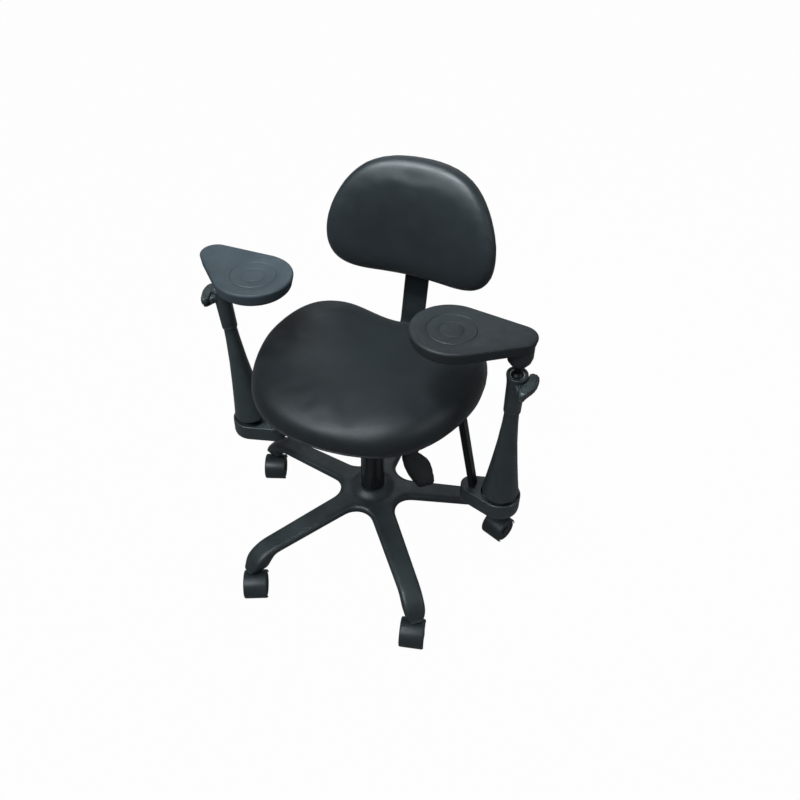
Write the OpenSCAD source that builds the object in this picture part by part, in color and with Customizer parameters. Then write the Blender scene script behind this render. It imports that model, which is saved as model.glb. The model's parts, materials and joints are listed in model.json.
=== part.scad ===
// Surgeon chair with two articulated forearm supports.
// The origin is on the floor under the column, +Z is up and the sitter faces -Y.
// Left and right are the sitter's: left is +X.

/* [Base] */
// Radius of the circle through the caster stems
stem_circle_r = 290; // [250:1:330]
// Direction of the first arm, seen from above
first_arm_deg = -50; // [-180:1:180]
// Width of an arm at the hub
base_arm_w = 52; // [48:1:60]
// Width of an arm at its caster
base_tip_w = 43; // [40:1:50]
// Depth of an arm
base_arm_h = 24; // [20:1:30]
// Top of the arms at the hub
arm_root_z = 130; // [120:1:136]
// Top of the arms over the casters
arm_tip_z = 104; // [101:1:112]
// Radius of the bend at the end of an arm
arm_end_r = 68; // [60:1:76]
// Rounding along the shoulders of an arm
shoulder_r = 9; // [6:1:10]
// Inward draw of an arm's sides towards their underside
under_draw = 12; // [8:1:14]
// Fillet between two arms, in plan
crotch_r = 21; // [12:1:30]
// Wall of the arms' open underside
base_wall = 4.5; // [3.5:0.5:6]
// Outer radius of the hub
hub_r = 39; // [36:1:44]
// Top of the hub
hub_top_z = 142; // [138:1:146]
// Bottom of the hub
hub_bottom_z = 72; // [68:1:80]
// Underside of the caster bosses
boss_z = 59.5; // [59:0.5:62]

/* [Casters] */
// Radius of a caster wheel
wheel_r = 25; // [24:0.5:25.5]
// Width of one wheel
wheel_w = 14.5; // [13:0.5:18]
// Distance of the wheel axle from the stem
trail = 18; // [14:1:20]
// Half of the web between the two wheels
web_half = 8; // [7:0.5:10]
// Wall of the hood over the wheels
hood_wall = 2.6; // [2:0.2:3]
// Radius of the wheel axle
axle_r = 4; // [3:0.5:5]
// Radius of the stem in the base
stem_r = 5.5; // [4:0.5:6]
// Length of the stem above the caster
stem_len = 21; // [18:1:23]

/* [Column] */
// Outer radius of the column tube
tube_r = 25; // [24:0.5:26]
// Wall of the column tube
tube_wall = 2; // [1.5:0.25:2.5]
// Top of the column tube
column_top_z = 285; // [275:1:292]
// Radius of the gas cylinder
cylinder_r = 14; // [12:0.5:15]
// Radius of the piston rod
rod_r = 5; // [4:0.5:6]
// Length of the guide bush
bush_h = 80; // [60:5:90]

/* [Seat] */
// Half of the seat's width
seat_half_w = 218; // [212:1:226]
// Place of the seat's middle, front to back
seat_y = -40; // [-50:1:-30]
// Length of the seat in front of its middle
seat_front = 200; // [185:1:215]
// Length of the seat behind its middle
seat_rear = 179; // [170:1:184]
// Underside of the seat pan
pan_z = 432; // [428:1:438]
// Thickness of the seat pan
pan_t = 6; // [4:0.5:9]
// Height of the seat cushion above its pan
seat_t = 76; // [60:1:90]

/* [Back] */
// Half of the backrest's width
back_half_w = 174.5; // [150:0.5:180]
// Height of the backrest
back_h = 242; // [220:1:250]
// Thickness of the back cushion at its edge
back_t = 38; // [30:1:42]
// Radius of the backrest's curve round the sitter
back_curve_r = 430; // [400:10:600]
// Backward lean of the backrest
back_lean = 5.5; // [3:0.5:8]
// Thickness of the back shell
shell_t = 5; // [4:0.5:7]
// Width of the back stem
stem_bar_w = 50; // [40:1:52]
// Thickness of the back stem
stem_bar_t = 8; // [6:0.5:9]
// Backward lean of the upright
stem_lean = 11; // [8:0.5:12]
// Length of the upright above its bend
stem_upright = 300; // [290:1:310]

/* [Arm bar] */
// Distance of the arm posts from the middle of the chair
post_x = 277; // [270:1:290]
// Place of the arm bars, front to back
arm_y = -16; // [-24:1:-8]
// Width of the arm bar
bar_w = 20; // [16:1:22]
// Thickness of the arm bar
bar_t = 12; // [9:0.5:13]
// Radius of the bar's bend, at its middle
bar_bend_r = 32; // [26:1:36]
// Turn of the bar's bend
bar_bend_deg = 78; // [74:1:80]
// Distance of the bend's start from the middle of the chair
bar_bend_x = 159; // [154:1:161]
// Top of the link housing
housing_top_z = 242.5; // [238:0.5:246]
// Height of the link housing
housing_h = 34.5; // [31:0.5:38]
// Radius of the housing round the post
housing_r = 40; // [39:0.5:43]
// Radius of the housing round the bar
housing_inner_r = 24; // [21:0.5:26]

/* [Arm post] */
// Forward lean of the left post at rest
left_lean = 8.5; // [4:0.5:12]
// Forward lean of the right post at rest
right_lean = 4; // [2:0.5:12]
// Outward lean of the left post at rest
left_out = 1.9; // [0:0.1:4]
// Outward lean of the right post at rest
right_out = 3.5; // [0:0.1:4]
// Height of the left collar on its post at rest, above its lowest
left_raise = 4; // [0:0.5:8]
// Length of the post above its pivot
post_len = 304; // [296:1:312]
// Largest radius of the post
post_base_r = 35; // [33:0.5:35.5]
// Radius of the post's neck
neck_r = 13; // [12.5:0.25:13.5]
// Outer radius of the clamping collar
collar_r = 15; // [14.75:0.25:16.5]
// Radius of the ball at the top of the post
ball_r = 12; // [11:0.25:12.5]
// Radius of the rod that carries the pad
pad_rod_r = 6; // [5:0.25:6.5]

/* [Arm pad] */
// Height of the pad's shell above the ball
pad_rise = 60; // [57:1:66]
// Thickness of the pad's shell
pad_shell_t = 5; // [4.5:0.5:7]
// Thickness of the pad
pad_t = 21; // [18:1:26]
// Turn of the left pad at rest
left_pad_turn = -3; // [-10:1:10]
// Turn of the right pad at rest
right_pad_turn = 3; // [-10:1:10]
// Radius of the pad's wide end
pad_wide_r = 71; // [60:1:74]
// Radius of the pad's narrow end
pad_narrow_r = 30; // [28:1:36]

/* [Lever] */
// Direction of the height lever, seen from above
lever_deg = -40; // [-44:1:-36]
// Length of the lever's rod
lever_len = 104; // [94:1:108]
// Width of the lever's paddle
paddle_w = 46; // [38:1:52]
// Length of the lever's paddle
paddle_len = 92; // [76:1:96]
// Downward slope of the paddle
paddle_slope = 50; // [36:1:52]

/* [Fits] */
// Radial clearance of a running fit
run_gap = 0.05; // [0.02:0.01:0.1]
// Radial clearance of a fixed fit
fix_gap = 0.02; // [0.01:0.01:0.05]
// Clearance round a soft piece
soft_gap = 0.3; // [0.2:0.1:0.5]

/* [Hidden] */
$fn = 64;

// Overrun of every cut
cut = 1;

// Base
base_arms = 5;
arm_half_deg = 180 / base_arms;
arm_root_r = hub_r - base_wall;
arm_slope = atan((arm_root_z - arm_tip_z) / (stem_circle_r - arm_root_r));
boss_r = base_tip_w / 2;
boss_draw = 4;
rib_t = 3;
web_low = 2;
rib_share = [0.3, 0.52, 0.74];
hub_core_r = 33;
hub_skirt_z = arm_root_z - base_arm_h - web_low;
web_drop = 5;
stem_socket = stem_len + 2;

// Casters
caster_trail_deg = [-75, -112, -120, -68, -64];
wheel_gap = 0.5;
wheel_edge = 3;
wheel_disc_shares = [0.34, 0.76];
wheel_disc_depth = 1.6;
wheel_cap = 2;
hood_gap = 1.3;
hood_in_r = wheel_r + hood_gap;
hood_r = hood_in_r + hood_wall;
hood_open_deg = [168, 204, 240, 276, 312];
hood_lip = 1;
hood_w = 2 * (web_half + wheel_gap + wheel_w) + 2 * hood_lip;
hood_top_w = 41;
hood_shoulder_z = 34;
hood_corner_r = 8;
axle_boss_r = 9;
swivel_boss_r = 11.5;
swivel_boss_low = 36;
swivel_boss_z = 57;
flange_r = 9;
flange_t = 1.5;

// Column
taper_end_r = tube_r - 1.6;
tube_foot = 9;
tube_bottom_z = hub_bottom_z - tube_foot;
tube_floor = 3;
tube_in_r = tube_r - tube_wall - 1.6;
rod_foot = 5;
rod_bottom_z = tube_bottom_z - rod_foot;
rod_top_z = 290;
bearing_r = 14;
bearing_h = 5;
rod_shoulder_r = 8;
rod_shoulder_h = 4;
clip_r = 9;
clip_t = 1.5;
bush_flange_r = tube_r - 0.6;
bush_flange_h = 3;
cylinder_bottom_z = 150;
cylinder_tip_r = cylinder_r - 0.9;
rod_bore_z = 346;
button_r = 4;
button_h = 3;

// Mechanism under the seat
carrier_t = 7.5;
mech_top_z = pan_z - carrier_t;
mech_h = 33;
mech_z = mech_top_z - mech_h;
mech_wall = 3;
cylinder_seat = 5.5;
cylinder_taper_z = mech_z - cylinder_seat;
cylinder_top_z = mech_top_z - cylinder_seat;
mech_half_w = 48;
mech_rear_half_w = 32;
mech_front_y = -70;
mech_rear_y = 92;
mech_neck_y = [35, 60];
flange_plate = [124, 166, 2.5];
flange_y = 4;
mech_hub_r = 22;
mech_hub_low = 6;
mech_boss_r = 9;
mech_screw_at = [54.5, 62];
screw_r = 3;
screw_head_r = 5.5;
screw_head_h = 3.5;
back_pivot = [0, 75, mech_z + 12.5];
pin_r = 5;
pin_over = 4;
lever_pivot = [58, -58, mech_z + 11];
lever_ear = [26, 3, 12];
lever_eye_r = 6.5;
lever_eye_w = 10;
lever_pin_r = 3;
lever_rod_r = 5;
lever_side_gap = 0.2;

// Arm carrier and its receivers
carrier_half = 196;
carrier_w = 66;
receiver_wall = 6;
receiver_in = 66;
receiver_out = 192;
receiver_h = 20;
bar_top_z = mech_top_z - run_gap;
bar_z = bar_top_z - bar_t / 2;
bar_in_x = 72;
lip_t = 4;
lip_reach = 3;
lip_out = 150;
carrier_screw_x = [88, 172];
carrier_screw_y = carrier_w / 2 - 8;
knob_x = 112;
knob_bridge = 24;
knob_screw_r = 4;
knob_r = 15;
knob_h = 17;
knob_neck_r = 9;
knob_neck_h = 6;
knob_lobes = 5;
knob_scallop_r = 6;

// Arm bar and link housing
bar_chamfer = 1.5;
weld = 0.02;
dimple_count = 4;
dimple_step = 11;
dimple_depth = 1.2;
bar_end_z = housing_top_z - 26;
bend_end = [bar_bend_x + bar_bend_r * sin(bar_bend_deg),
    bar_z - bar_bend_r * (1 - cos(bar_bend_deg))];
bar_drop_len = (bend_end[1] - bar_end_z) / sin(bar_bend_deg);
bar_foot_x = bend_end[0]
    + (bend_end[1] - housing_top_z) / tan(bar_bend_deg);
housing_z = housing_top_z - housing_h;
housing_chamfer = 5;
post_pivot_rise = 3.5;
pivot_z = housing_top_z + post_pivot_rise;
pocket_r = 36.8;
pocket_depth = 13;
ear_in = 12;
ear_t = 5;
ear_r = 8;
trunnion_r = 4;
cross_r = 9;
cap_r = 21;
cap_h = 9;
cap_round = 2.5;
cap_spigot_r = 10;
cap_spigot_h = 5;

// Arm post, collar and ball joint: leans and collar height at rest
left_rest = [left_lean, left_out, left_raise];
right_rest = [right_lean, right_out, 0];
post_low_r = 29;
post_band = 8;
post_profile_shares = [[0.143, 0.795], [0.324, 0.5], [0.505, 0.24], [0.686, 0.055], [0.78, 0]];
post_cavity_r = 24.5;
post_cavity_top_r = 20;
post_cavity_h = 26;
collar_low = 264;
collar_bore_top = post_len + 0.4;
ball_up = 20;
ball_z = post_len + ball_up;
liner_t = 2;
liner_r = ball_r + run_gap + liner_t;
cup_r = liner_r + run_gap;
cup_rim_r = 19;
cup_rim = 7;
cup_foot = 16;
liner_rim = 5;
collar_slit = 2;
collar_ear_y = 29;
collar_ear_r = 7;
collar_ear_x = 11;
collar_ear_z = ball_z - 7;
bolt_r = 3;
bolt_head_r = 5.5;
bolt_head_h = 4;
cam_x = collar_ear_x + 8.2;
cam_r = 7;
cam_h = 17;
cam_pin_r = 2.5;
cam_slot = 7;
wing_len = 42;
wing_t = 5;
wing_root_h = 16;
wing_tip_h = 12;
wing_deg = 78;
pad_rod_top = 46;

// Arm pad, from the ball
pad_wide_at = [-106, -36];
pad_narrow_at = [-3, -3];
bell_profile = [[9, 25], [14.5, 28], [19.5, 35], [22, 44]];
pad_shell_inset = 6;
pad_steps = 18;
pad_ring_shares = [[0.07, 0], [0.02, 0.1], [0, 0.3], [0, 0.52], [0.035, 0.76], [0.1, 0.92], [0.19, 1],
    [0.45, 1]];
pad_ring_r = [22, 43];
pad_ring_w = 1.6;
pad_ring_depth = 0.9;
pad_dish_r = 51;
pad_dish_depth = 1.8;

// Seat outline, as shares of half the width and of the front or rear length
seat_outline_shares = [[0, -1], [0.27, -0.97], [0.51, -0.885], [0.71, -0.72], [0.86, -0.47],
    [0.955, -0.18], [1, 0.11], [0.985, 0.42], [0.925, 0.68], [0.81, 0.88], [0.64, 0.985], [0.46, 1],
    [0.24, 0.95], [0, 0.905]];
// Rings of the seat cushion: share of the outline, share of the height
seat_ring_shares = [[0.5, 0], [0.925, 0], [0.972, 0.045], [1, 0.16], [1, 0.32], [0.987, 0.49],
    [0.96, 0.645], [0.918, 0.775], [0.855, 0.875], [0.77, 0.94], [0.66, 0.975], [0.52, 0.99],
    [0.36, 0.995], [0.18, 1]];
seat_steps = 64;
seat_front_drop_share = 0.3;
seat_dish_share = 0.1;
pan_share = 0.915;

// Backrest outline, as shares of half the width and of the height
back_outline_shares = [[0, 0.004], [0.3, 0], [0.58, 0.004], [0.79, 0.045], [0.92, 0.125],
    [0.985, 0.235], [1, 0.35], [0.978, 0.47], [0.93, 0.59], [0.855, 0.705], [0.75, 0.815],
    [0.61, 0.905], [0.42, 0.967], [0.2, 0.995], [0, 1]];
back_mid_share = 0.47;
back_inner_shares = [0.2, 0.45, 0.7, 0.86];
// Rings of the back cushion: share of the outline, share of the thickness
back_ring_shares = [[0.955, 0.02], [0.99, 0.14], [1, 0.34], [0.995, 0.55], [0.972, 0.76],
    [0.93, 0.91], [0.86, 1.02], [0.7, 1.13], [0.45, 1.21], [0.2, 1.24]];
back_steps = 56;
back_low_z = 541.5;
shell_edge_share = 0.95;

// Stem, sleeve and backrest pivot
stem_front_y = back_pivot[1];
stem_bend_y = 167;
stem_bend_r = 38;
stem_bend_deg = 90 - stem_lean;
stem_chamfer = 1.5;
stem_eye_r = 9.5;
stem_foot = [0, stem_bend_y + stem_bend_r * sin(stem_bend_deg),
    back_pivot[2] + stem_bend_r * (1 - cos(stem_bend_deg))];
sleeve_up = 226;
sleeve_h = 74;
sleeve_wall = 5;
sleeve_edge = 4;
tilt_pivot_y = 16;
tilt_ear_in = 10;
tilt_ear_t = 6;
tilt_ear_r = 7;
tilt_pin_r = 4;
tilt_pin_over = 2;
tilt_at = stem_foot + [0, sleeve_up * sin(stem_lean) - tilt_pivot_y * cos(stem_lean),
    sleeve_up * cos(stem_lean) + tilt_pivot_y * sin(stem_lean)];
tilt_lug_h = 40;
tilt_lug_side_gap = 0.2;
tilt_clear = 0.6;
back_pad_y = tilt_at[1] - tilt_ear_r - shell_t - tilt_clear;
tilt_lug_len = tilt_ear_r + tilt_clear + shell_t / 2;

// Points along an arc in a plane
function arc(c, r, from_deg, to_deg, steps) =
    [for (k = [0 : steps]) let (a = from_deg + (to_deg - from_deg) * k / steps)
        c + r * [cos(a), sin(a)]];

// Closed smooth curve through points
function curve_at(p, t) =
    let (n = len(p), i = floor(t), f = t - i,
        a = p[(i + n - 1) % n], b = p[i % n], c = p[(i + 1) % n], d = p[(i + 2) % n])
    b + (c - a) * f / 2 + (2 * a - 5 * b + 4 * c - d) * f * f / 2
        + (3 * b - a - 3 * c + d) * f * f * f / 2;
function closed_curve(p, steps) = [for (k = [0 : steps - 1]) curve_at(p, k * len(p) / steps)];

// Whole outline from its right half
function both_halves(h) = concat(h, [for (i = [len(h) - 2 : -1 : 1]) [-h[i][0], h[i][1]]]);

function sum(v, i = 0) = i < len(v) - 1 ? v[i] + sum(v, i + 1) : v[i];
function middle(ring) = sum(ring) / len(ring);

// Closed solid through rings of equal length, from the bottom up
module skin(rings) {
    m = len(rings[0]);
    n = len(rings);
    points = concat([for (r = rings) each r], [middle(rings[0]), middle(rings[n - 1])]);
    sides = [for (i = [0 : n - 2], j = [0 : m - 1]) each [
        [i * m + j, (i + 1) * m + j, (i + 1) * m + (j + 1) % m],
        [i * m + j, (i + 1) * m + (j + 1) % m, i * m + (j + 1) % m]]];
    low = [for (j = [0 : m - 1]) [n * m, j, (j + 1) % m]];
    top = [for (j = [0 : m - 1]) [n * m + 1, (n - 1) * m + (j + 1) % m, (n - 1) * m + j]];
    polyhedron(points, concat(sides, low, top));
}

// Rectangle with its corners cut
module chamfered(w, h, c) {
    polygon([[-w / 2 + c, -h / 2], [w / 2 - c, -h / 2], [w / 2, -h / 2 + c], [w / 2, h / 2 - c],
        [w / 2 - c, h / 2], [-w / 2 + c, h / 2], [-w / 2, h / 2 - c], [-w / 2, -h / 2 + c]]);
}

// Plain hand knob with scallops, on +Z from its neck
module hand_knob() {
    difference() {
        union() {
            cylinder(h = knob_neck_h, r = knob_neck_r);
            translate([0, 0, knob_neck_h])
                rotate_extrude()
                    polygon(concat([[0, 0], [knob_r - wheel_edge, 0]],
                        arc([knob_r - wheel_edge, wheel_edge], wheel_edge, -90, 0, 4),
                        arc([knob_r - wheel_edge, knob_h - knob_neck_h - wheel_edge],
                            wheel_edge, 0, 90, 4),
                        [[0, knob_h - knob_neck_h]]));
        }
        for (k = [0 : knob_lobes - 1])
            rotate([0, 0, k * 360 / knob_lobes])
                translate([knob_r + knob_scallop_r / 2, 0, knob_neck_h])
                    cylinder(h = knob_h, r = knob_scallop_r);
    }
}

// Base

module arm_section(w, h, r) {
    foot = w / 2 - under_draw;
    polygon([[-foot, -h], [foot, -h], [w / 2, -r], [w / 2 - r, 0], [r - w / 2, 0], [-w / 2, -r]]);
    for (s = [-1, 1])
        translate([s * (w / 2 - r), -r])
            circle(r);
}

module arm_plan(inset) {
    polygon([[0, -base_arm_w / 2 + inset], [stem_circle_r, -base_tip_w / 2 + inset],
        [stem_circle_r, base_tip_w / 2 - inset], [0, base_arm_w / 2 - inset]]);
}

// Sloping beam of one arm, or its hollow when inset
module arm_beam(inset) {
    intersection() {
        translate([arm_root_r, 0, arm_root_z - inset])
            rotate([0, arm_slope, 0])
                rotate([90, 0, 90])
                    linear_extrude(stem_circle_r)
                        arm_section(base_arm_w - 2 * inset, base_arm_h + (inset > 0 ? cut : 0),
                            shoulder_r - inset);
        linear_extrude(arm_root_z)
            arm_plan(inset);
    }
}

module arm_hollow() {
    difference() {
        intersection() {
            arm_beam(base_wall);
            translate([hub_r, -base_arm_w, 0])
                cube([stem_circle_r - boss_r - hub_r, 2 * base_arm_w, arm_root_z]);
        }
        translate([0, -rib_t / 2, 0])
            cube([stem_circle_r, rib_t, arm_root_z]);
        for (share = rib_share)
            translate([share * stem_circle_r, -base_arm_w, 0])
                cube([rib_t, 2 * base_arm_w, arm_root_z]);
    }
}

module crotch_web() {
    reach = base_arm_w / 2 + crotch_r;
    along = reach / tan(arm_half_deg);
    edge = base_arm_w / 2;
    tangent = [along * cos(arm_half_deg) + edge * sin(arm_half_deg),
        along * sin(arm_half_deg) - edge * cos(arm_half_deg)];
    translate([0, 0, hub_skirt_z + web_low / 2])
        linear_extrude(base_arm_h - web_drop - web_low / 2)
            difference() {
                polygon([[0, 0], [tangent[0], -tangent[1]], tangent]);
                translate([reach / sin(arm_half_deg), 0])
                    circle(crotch_r);
            }
}

// Side of an arm, with its end bent down over the caster
module arm_side() {
    end = stem_circle_r + boss_r;
    start = end - arm_end_r;
    bend_z = arm_tip_z + (stem_circle_r - start) * tan(arm_slope) - arm_end_r;
    polygon(concat([[0, 0], [end, 0]], arc([start, bend_z], arm_end_r, 0, 90, 24),
        [[arm_root_r, arm_root_z + cut], [0, arm_root_z + cut]]));
}

module caster_boss() {
    rotate_extrude()
        polygon(concat([[0, boss_z], [boss_r - boss_draw, boss_z], [boss_r, arm_tip_z - 2 * shoulder_r]],
            arc([boss_r - shoulder_r, arm_tip_z - shoulder_r], shoulder_r, 0, 90, 8),
            [[0, arm_tip_z]]));
}

module star_base() {
    color([0.13, 0.14, 0.15])
    difference() {
        union() {
            for (k = [0 : base_arms - 1])
                rotate([0, 0, first_arm_deg + k * 2 * arm_half_deg]) {
                    intersection() {
                        union() {
                            difference() {
                                arm_beam(0);
                                arm_hollow();
                            }
                            translate([stem_circle_r, 0, 0])
                                caster_boss();
                        }
                        rotate([90, 0, 0])
                            linear_extrude(2 * base_arm_w, center = true)
                                arm_side();
                    }
                    rotate([0, 0, arm_half_deg])
                        crotch_web();
                }
            rotate_extrude()
                polygon([[0, hub_bottom_z], [hub_core_r, hub_bottom_z], [hub_core_r, hub_skirt_z],
                    [hub_r + web_drop, hub_skirt_z], [hub_r + web_drop, arm_root_z - web_drop],
                    [hub_r, arm_root_z], [hub_core_r, hub_top_z], [0, hub_top_z]]);
        }
        translate([0, 0, hub_bottom_z])
            cylinder(h = hub_top_z - hub_bottom_z, r1 = taper_r(hub_bottom_z) + fix_gap,
                r2 = tube_r + fix_gap);
        translate([0, 0, hub_bottom_z - cut])
            cylinder(h = cut, r = taper_r(hub_bottom_z) + fix_gap);
        translate([0, 0, hub_top_z])
            cylinder(h = cut, r = tube_r + fix_gap);
        for (k = [0 : base_arms - 1])
            rotate([0, 0, first_arm_deg + k * 2 * arm_half_deg])
                translate([stem_circle_r, 0, boss_z - cut])
                    cylinder(h = stem_socket + cut, r = stem_r + run_gap);
    }
}

// Column

// Radius of the tube's tapered foot at a height
function taper_r(z) = taper_end_r
    + (tube_r - taper_end_r) * (z - tube_bottom_z) / (hub_top_z - tube_bottom_z);

module column_tube() {
    color([0.08, 0.08, 0.09])
    difference() {
        rotate_extrude()
            polygon([[0, tube_bottom_z], [taper_end_r, tube_bottom_z], [tube_r, hub_top_z],
                [tube_r, column_top_z - tube_wall], [tube_r - tube_wall / 2, column_top_z],
                [0, column_top_z]]);
        translate([0, 0, tube_bottom_z + tube_floor])
            cylinder(h = column_top_z, r = tube_in_r);
        translate([0, 0, tube_bottom_z - cut])
            cylinder(h = column_top_z, r = rod_r + run_gap);
    }
}

module column_bush() {
    color([0.1, 0.1, 0.11])
    difference() {
        union() {
            translate([0, 0, column_top_z - bush_h])
                cylinder(h = bush_h, r = tube_in_r - fix_gap);
            translate([0, 0, column_top_z])
                cylinder(h = bush_flange_h, r = bush_flange_r);
        }
        translate([0, 0, column_top_z - bush_h - cut])
            cylinder(h = bush_h + bush_flange_h + 2 * cut, r = cylinder_r + run_gap);
    }
}

module piston_rod() {
    color([0.75, 0.76, 0.78])
    union() {
        translate([0, 0, rod_bottom_z])
            cylinder(h = rod_top_z - rod_bottom_z, r = rod_r);
        translate([0, 0, tube_bottom_z + tube_floor + bearing_h + 2 * run_gap])
            cylinder(h = rod_shoulder_h, r = rod_shoulder_r);
    }
}

module thrust_bearing() {
    color([0.7, 0.7, 0.72])
    difference() {
        translate([0, 0, tube_bottom_z + tube_floor + run_gap])
            cylinder(h = bearing_h, r = bearing_r);
        translate([0, 0, tube_bottom_z])
            cylinder(h = column_top_z, r = rod_r + fix_gap);
    }
}

module retaining_clip() {
    color([0.6, 0.6, 0.62])
    difference() {
        translate([0, 0, tube_bottom_z - run_gap - clip_t])
            cylinder(h = clip_t, r = clip_r);
        translate([0, 0, rod_bottom_z])
            cylinder(h = column_top_z, r = rod_r + fix_gap);
        translate([0, -collar_slit / 2, rod_bottom_z])
            cube([clip_r + cut, collar_slit, column_top_z]);
    }
}

module gas_cylinder() {
    color([0.12, 0.12, 0.13])
    difference() {
        union() {
            translate([0, 0, cylinder_bottom_z])
                cylinder(h = cylinder_taper_z - cylinder_bottom_z, r = cylinder_r);
            translate([0, 0, cylinder_taper_z])
                cylinder(h = cylinder_top_z - cylinder_taper_z, r1 = cylinder_r,
                    r2 = cylinder_tip_r);
            translate([0, 0, cylinder_top_z])
                cylinder(h = button_h, r = button_r);
        }
        translate([0, 0, cylinder_bottom_z - cut])
            cylinder(h = rod_bore_z - cylinder_bottom_z + cut, r = rod_r + run_gap);
    }
}

// Seat

module mech_plan(inset) {
    side = mech_half_w - inset;
    rear = mech_rear_half_w - inset;
    polygon([[-side, mech_front_y + inset], [side, mech_front_y + inset], [side, mech_neck_y[0]],
        [rear, mech_neck_y[1]], [rear, mech_rear_y - inset], [-rear, mech_rear_y - inset],
        [-rear, mech_neck_y[1]], [-side, mech_neck_y[0]]]);
}

// Frame of the lever: +X runs along its rod
module at_lever() {
    translate(lever_pivot)
        rotate([0, 0, lever_deg])
            children();
}

module lever_ears() {
    ear_y = lever_eye_w / 2 + lever_side_gap;
    for (s = [-1, 1])
        translate([0, s * (ear_y + lever_ear[1] / 2), 0])
            rotate([90, 0, 0]) {
                translate([0, 0, -lever_ear[1] / 2])
                    cylinder(h = lever_ear[1], r = lever_ear[2] / 2);
                translate([-lever_ear[0], -lever_ear[2] / 2, -lever_ear[1] / 2])
                    cube([lever_ear[0], lever_ear[2], lever_ear[1]]);
            }
    translate([0, ear_y + lever_ear[1], 0])
        rotate([90, 0, 0])
            cylinder(h = 2 * (ear_y + lever_ear[1]), r = lever_pin_r);
}

module seat_mechanism() {
    color([0.15, 0.15, 0.16])
    difference() {
        union() {
            difference() {
                translate([0, 0, mech_z])
                    linear_extrude(mech_h)
                        mech_plan(0);
                translate([0, 0, mech_z - cut])
                    linear_extrude(mech_h - mech_wall + cut)
                        mech_plan(mech_wall);
            }
            translate([-flange_plate[0] / 2, flange_y - flange_plate[1] / 2,
                mech_top_z - flange_plate[2]])
                cube(flange_plate);
            translate([0, 0, mech_z - mech_hub_low])
                cylinder(h = mech_h + mech_hub_low, r = mech_hub_r);
            for (x = [-1, 1], y = [-1, 1])
                translate([x * mech_screw_at[0], flange_y + y * mech_screw_at[1],
                    mech_top_z - flange_plate[2]])
                    cylinder(h = carrier_t + flange_plate[2], r = mech_boss_r);
            difference() {
                at_lever()
                    lever_ears();
                translate([0, 0, mech_z - cut])
                    linear_extrude(mech_h)
                        mech_plan(mech_wall);
            }
        }
        // Socket of the gas cylinder and of its button
        translate([0, 0, mech_z - mech_hub_low - cut])
            cylinder(h = cylinder_taper_z - mech_z + mech_hub_low + cut, r = cylinder_r + fix_gap);
        translate([0, 0, cylinder_taper_z])
            cylinder(h = cylinder_top_z + fix_gap - cylinder_taper_z, r1 = cylinder_r + fix_gap,
                r2 = cylinder_tip_r + fix_gap);
        translate([0, 0, cylinder_top_z])
            cylinder(h = carrier_t, r = 2 * button_r);
        // Way of the stem through the rear end
        translate([-mech_rear_half_w + mech_wall, mech_neck_y[1], mech_z - cut])
            cube([2 * (mech_rear_half_w - mech_wall), mech_rear_y,
                mech_h - mech_wall + cut]);
        translate(back_pivot)
            rotate([0, 90, 0])
                translate([0, 0, -mech_half_w])
                    cylinder(h = 2 * mech_half_w, r = pin_r + fix_gap);
        for (x = [-1, 1], y = [-1, 1])
            translate([x * mech_screw_at[0], flange_y + y * mech_screw_at[1], mech_z])
                cylinder(h = mech_h + carrier_t + cut, r = screw_r + fix_gap);
    }
}

function seat_point(p) = [p[0] * seat_half_w, seat_y + p[1] * (p[1] < 0 ? seat_front : seat_rear)];
seat_curve = closed_curve(both_halves(seat_outline_shares), seat_steps);

// Drop of the seat's front and dish of its middle, as a share of its height
function seat_form(p) = -seat_front_drop_share * pow(max(0, -p[1] - 0.1), 2)
    - seat_dish_share * max(0, 1 - pow(p[0] / 0.8, 2)) * max(0, 1 - pow((p[1] - 0.35) / 0.9, 2));
function seat_ring(scale_share, height_share) =
    [for (p = seat_curve) let (q = p * scale_share, at = seat_point(q))
        [at[0], at[1], pan_z + pan_t + soft_gap
            + seat_t * (height_share + pow(height_share, 2) * seat_form(q))]];

module seat_pan() {
    color([0.1, 0.1, 0.11])
    difference() {
        translate([0, 0, pan_z])
            linear_extrude(pan_t)
                polygon([for (p = seat_curve) seat_point(p * pan_share)]);
        translate([0, 0, pan_z - cut])
            screws_at()
                cylinder(h = pan_t + 2 * cut, r = screw_r + fix_gap);
    }
}

module seat_cushion() {
    color([0.14, 0.15, 0.16])
    skin([for (r = seat_ring_shares) seat_ring(r[0], r[1])]);
}

module screws_at() {
    for (x = [-1, 1], y = [-1, 1])
        translate([x * mech_screw_at[0], flange_y + y * mech_screw_at[1], 0])
            children();
    for (side = [-1, 1], x = carrier_screw_x, y = [-1, 1])
        translate([side * x, arm_y + y * carrier_screw_y, 0])
            children();
}

module screw(head_z) {
    translate([0, 0, head_z - screw_head_h])
        cylinder(h = screw_head_h, r = screw_head_r);
    translate([0, 0, head_z])
        cylinder(h = pan_z + pan_t - head_z, r = screw_r);
}

module seat_screws() {
    color([0.4, 0.4, 0.42])
    union() {
        for (x = [-1, 1], y = [-1, 1])
            translate([x * mech_screw_at[0], flange_y + y * mech_screw_at[1], 0])
                screw(mech_top_z - flange_plate[2] - fix_gap);
        for (side = [-1, 1], x = carrier_screw_x, y = [-1, 1])
            translate([side * x, arm_y + y * carrier_screw_y, 0])
                screw(mech_top_z - fix_gap);
    }
}

// Arm carrier: a plate under the pan with a receiver for each arm bar

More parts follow.
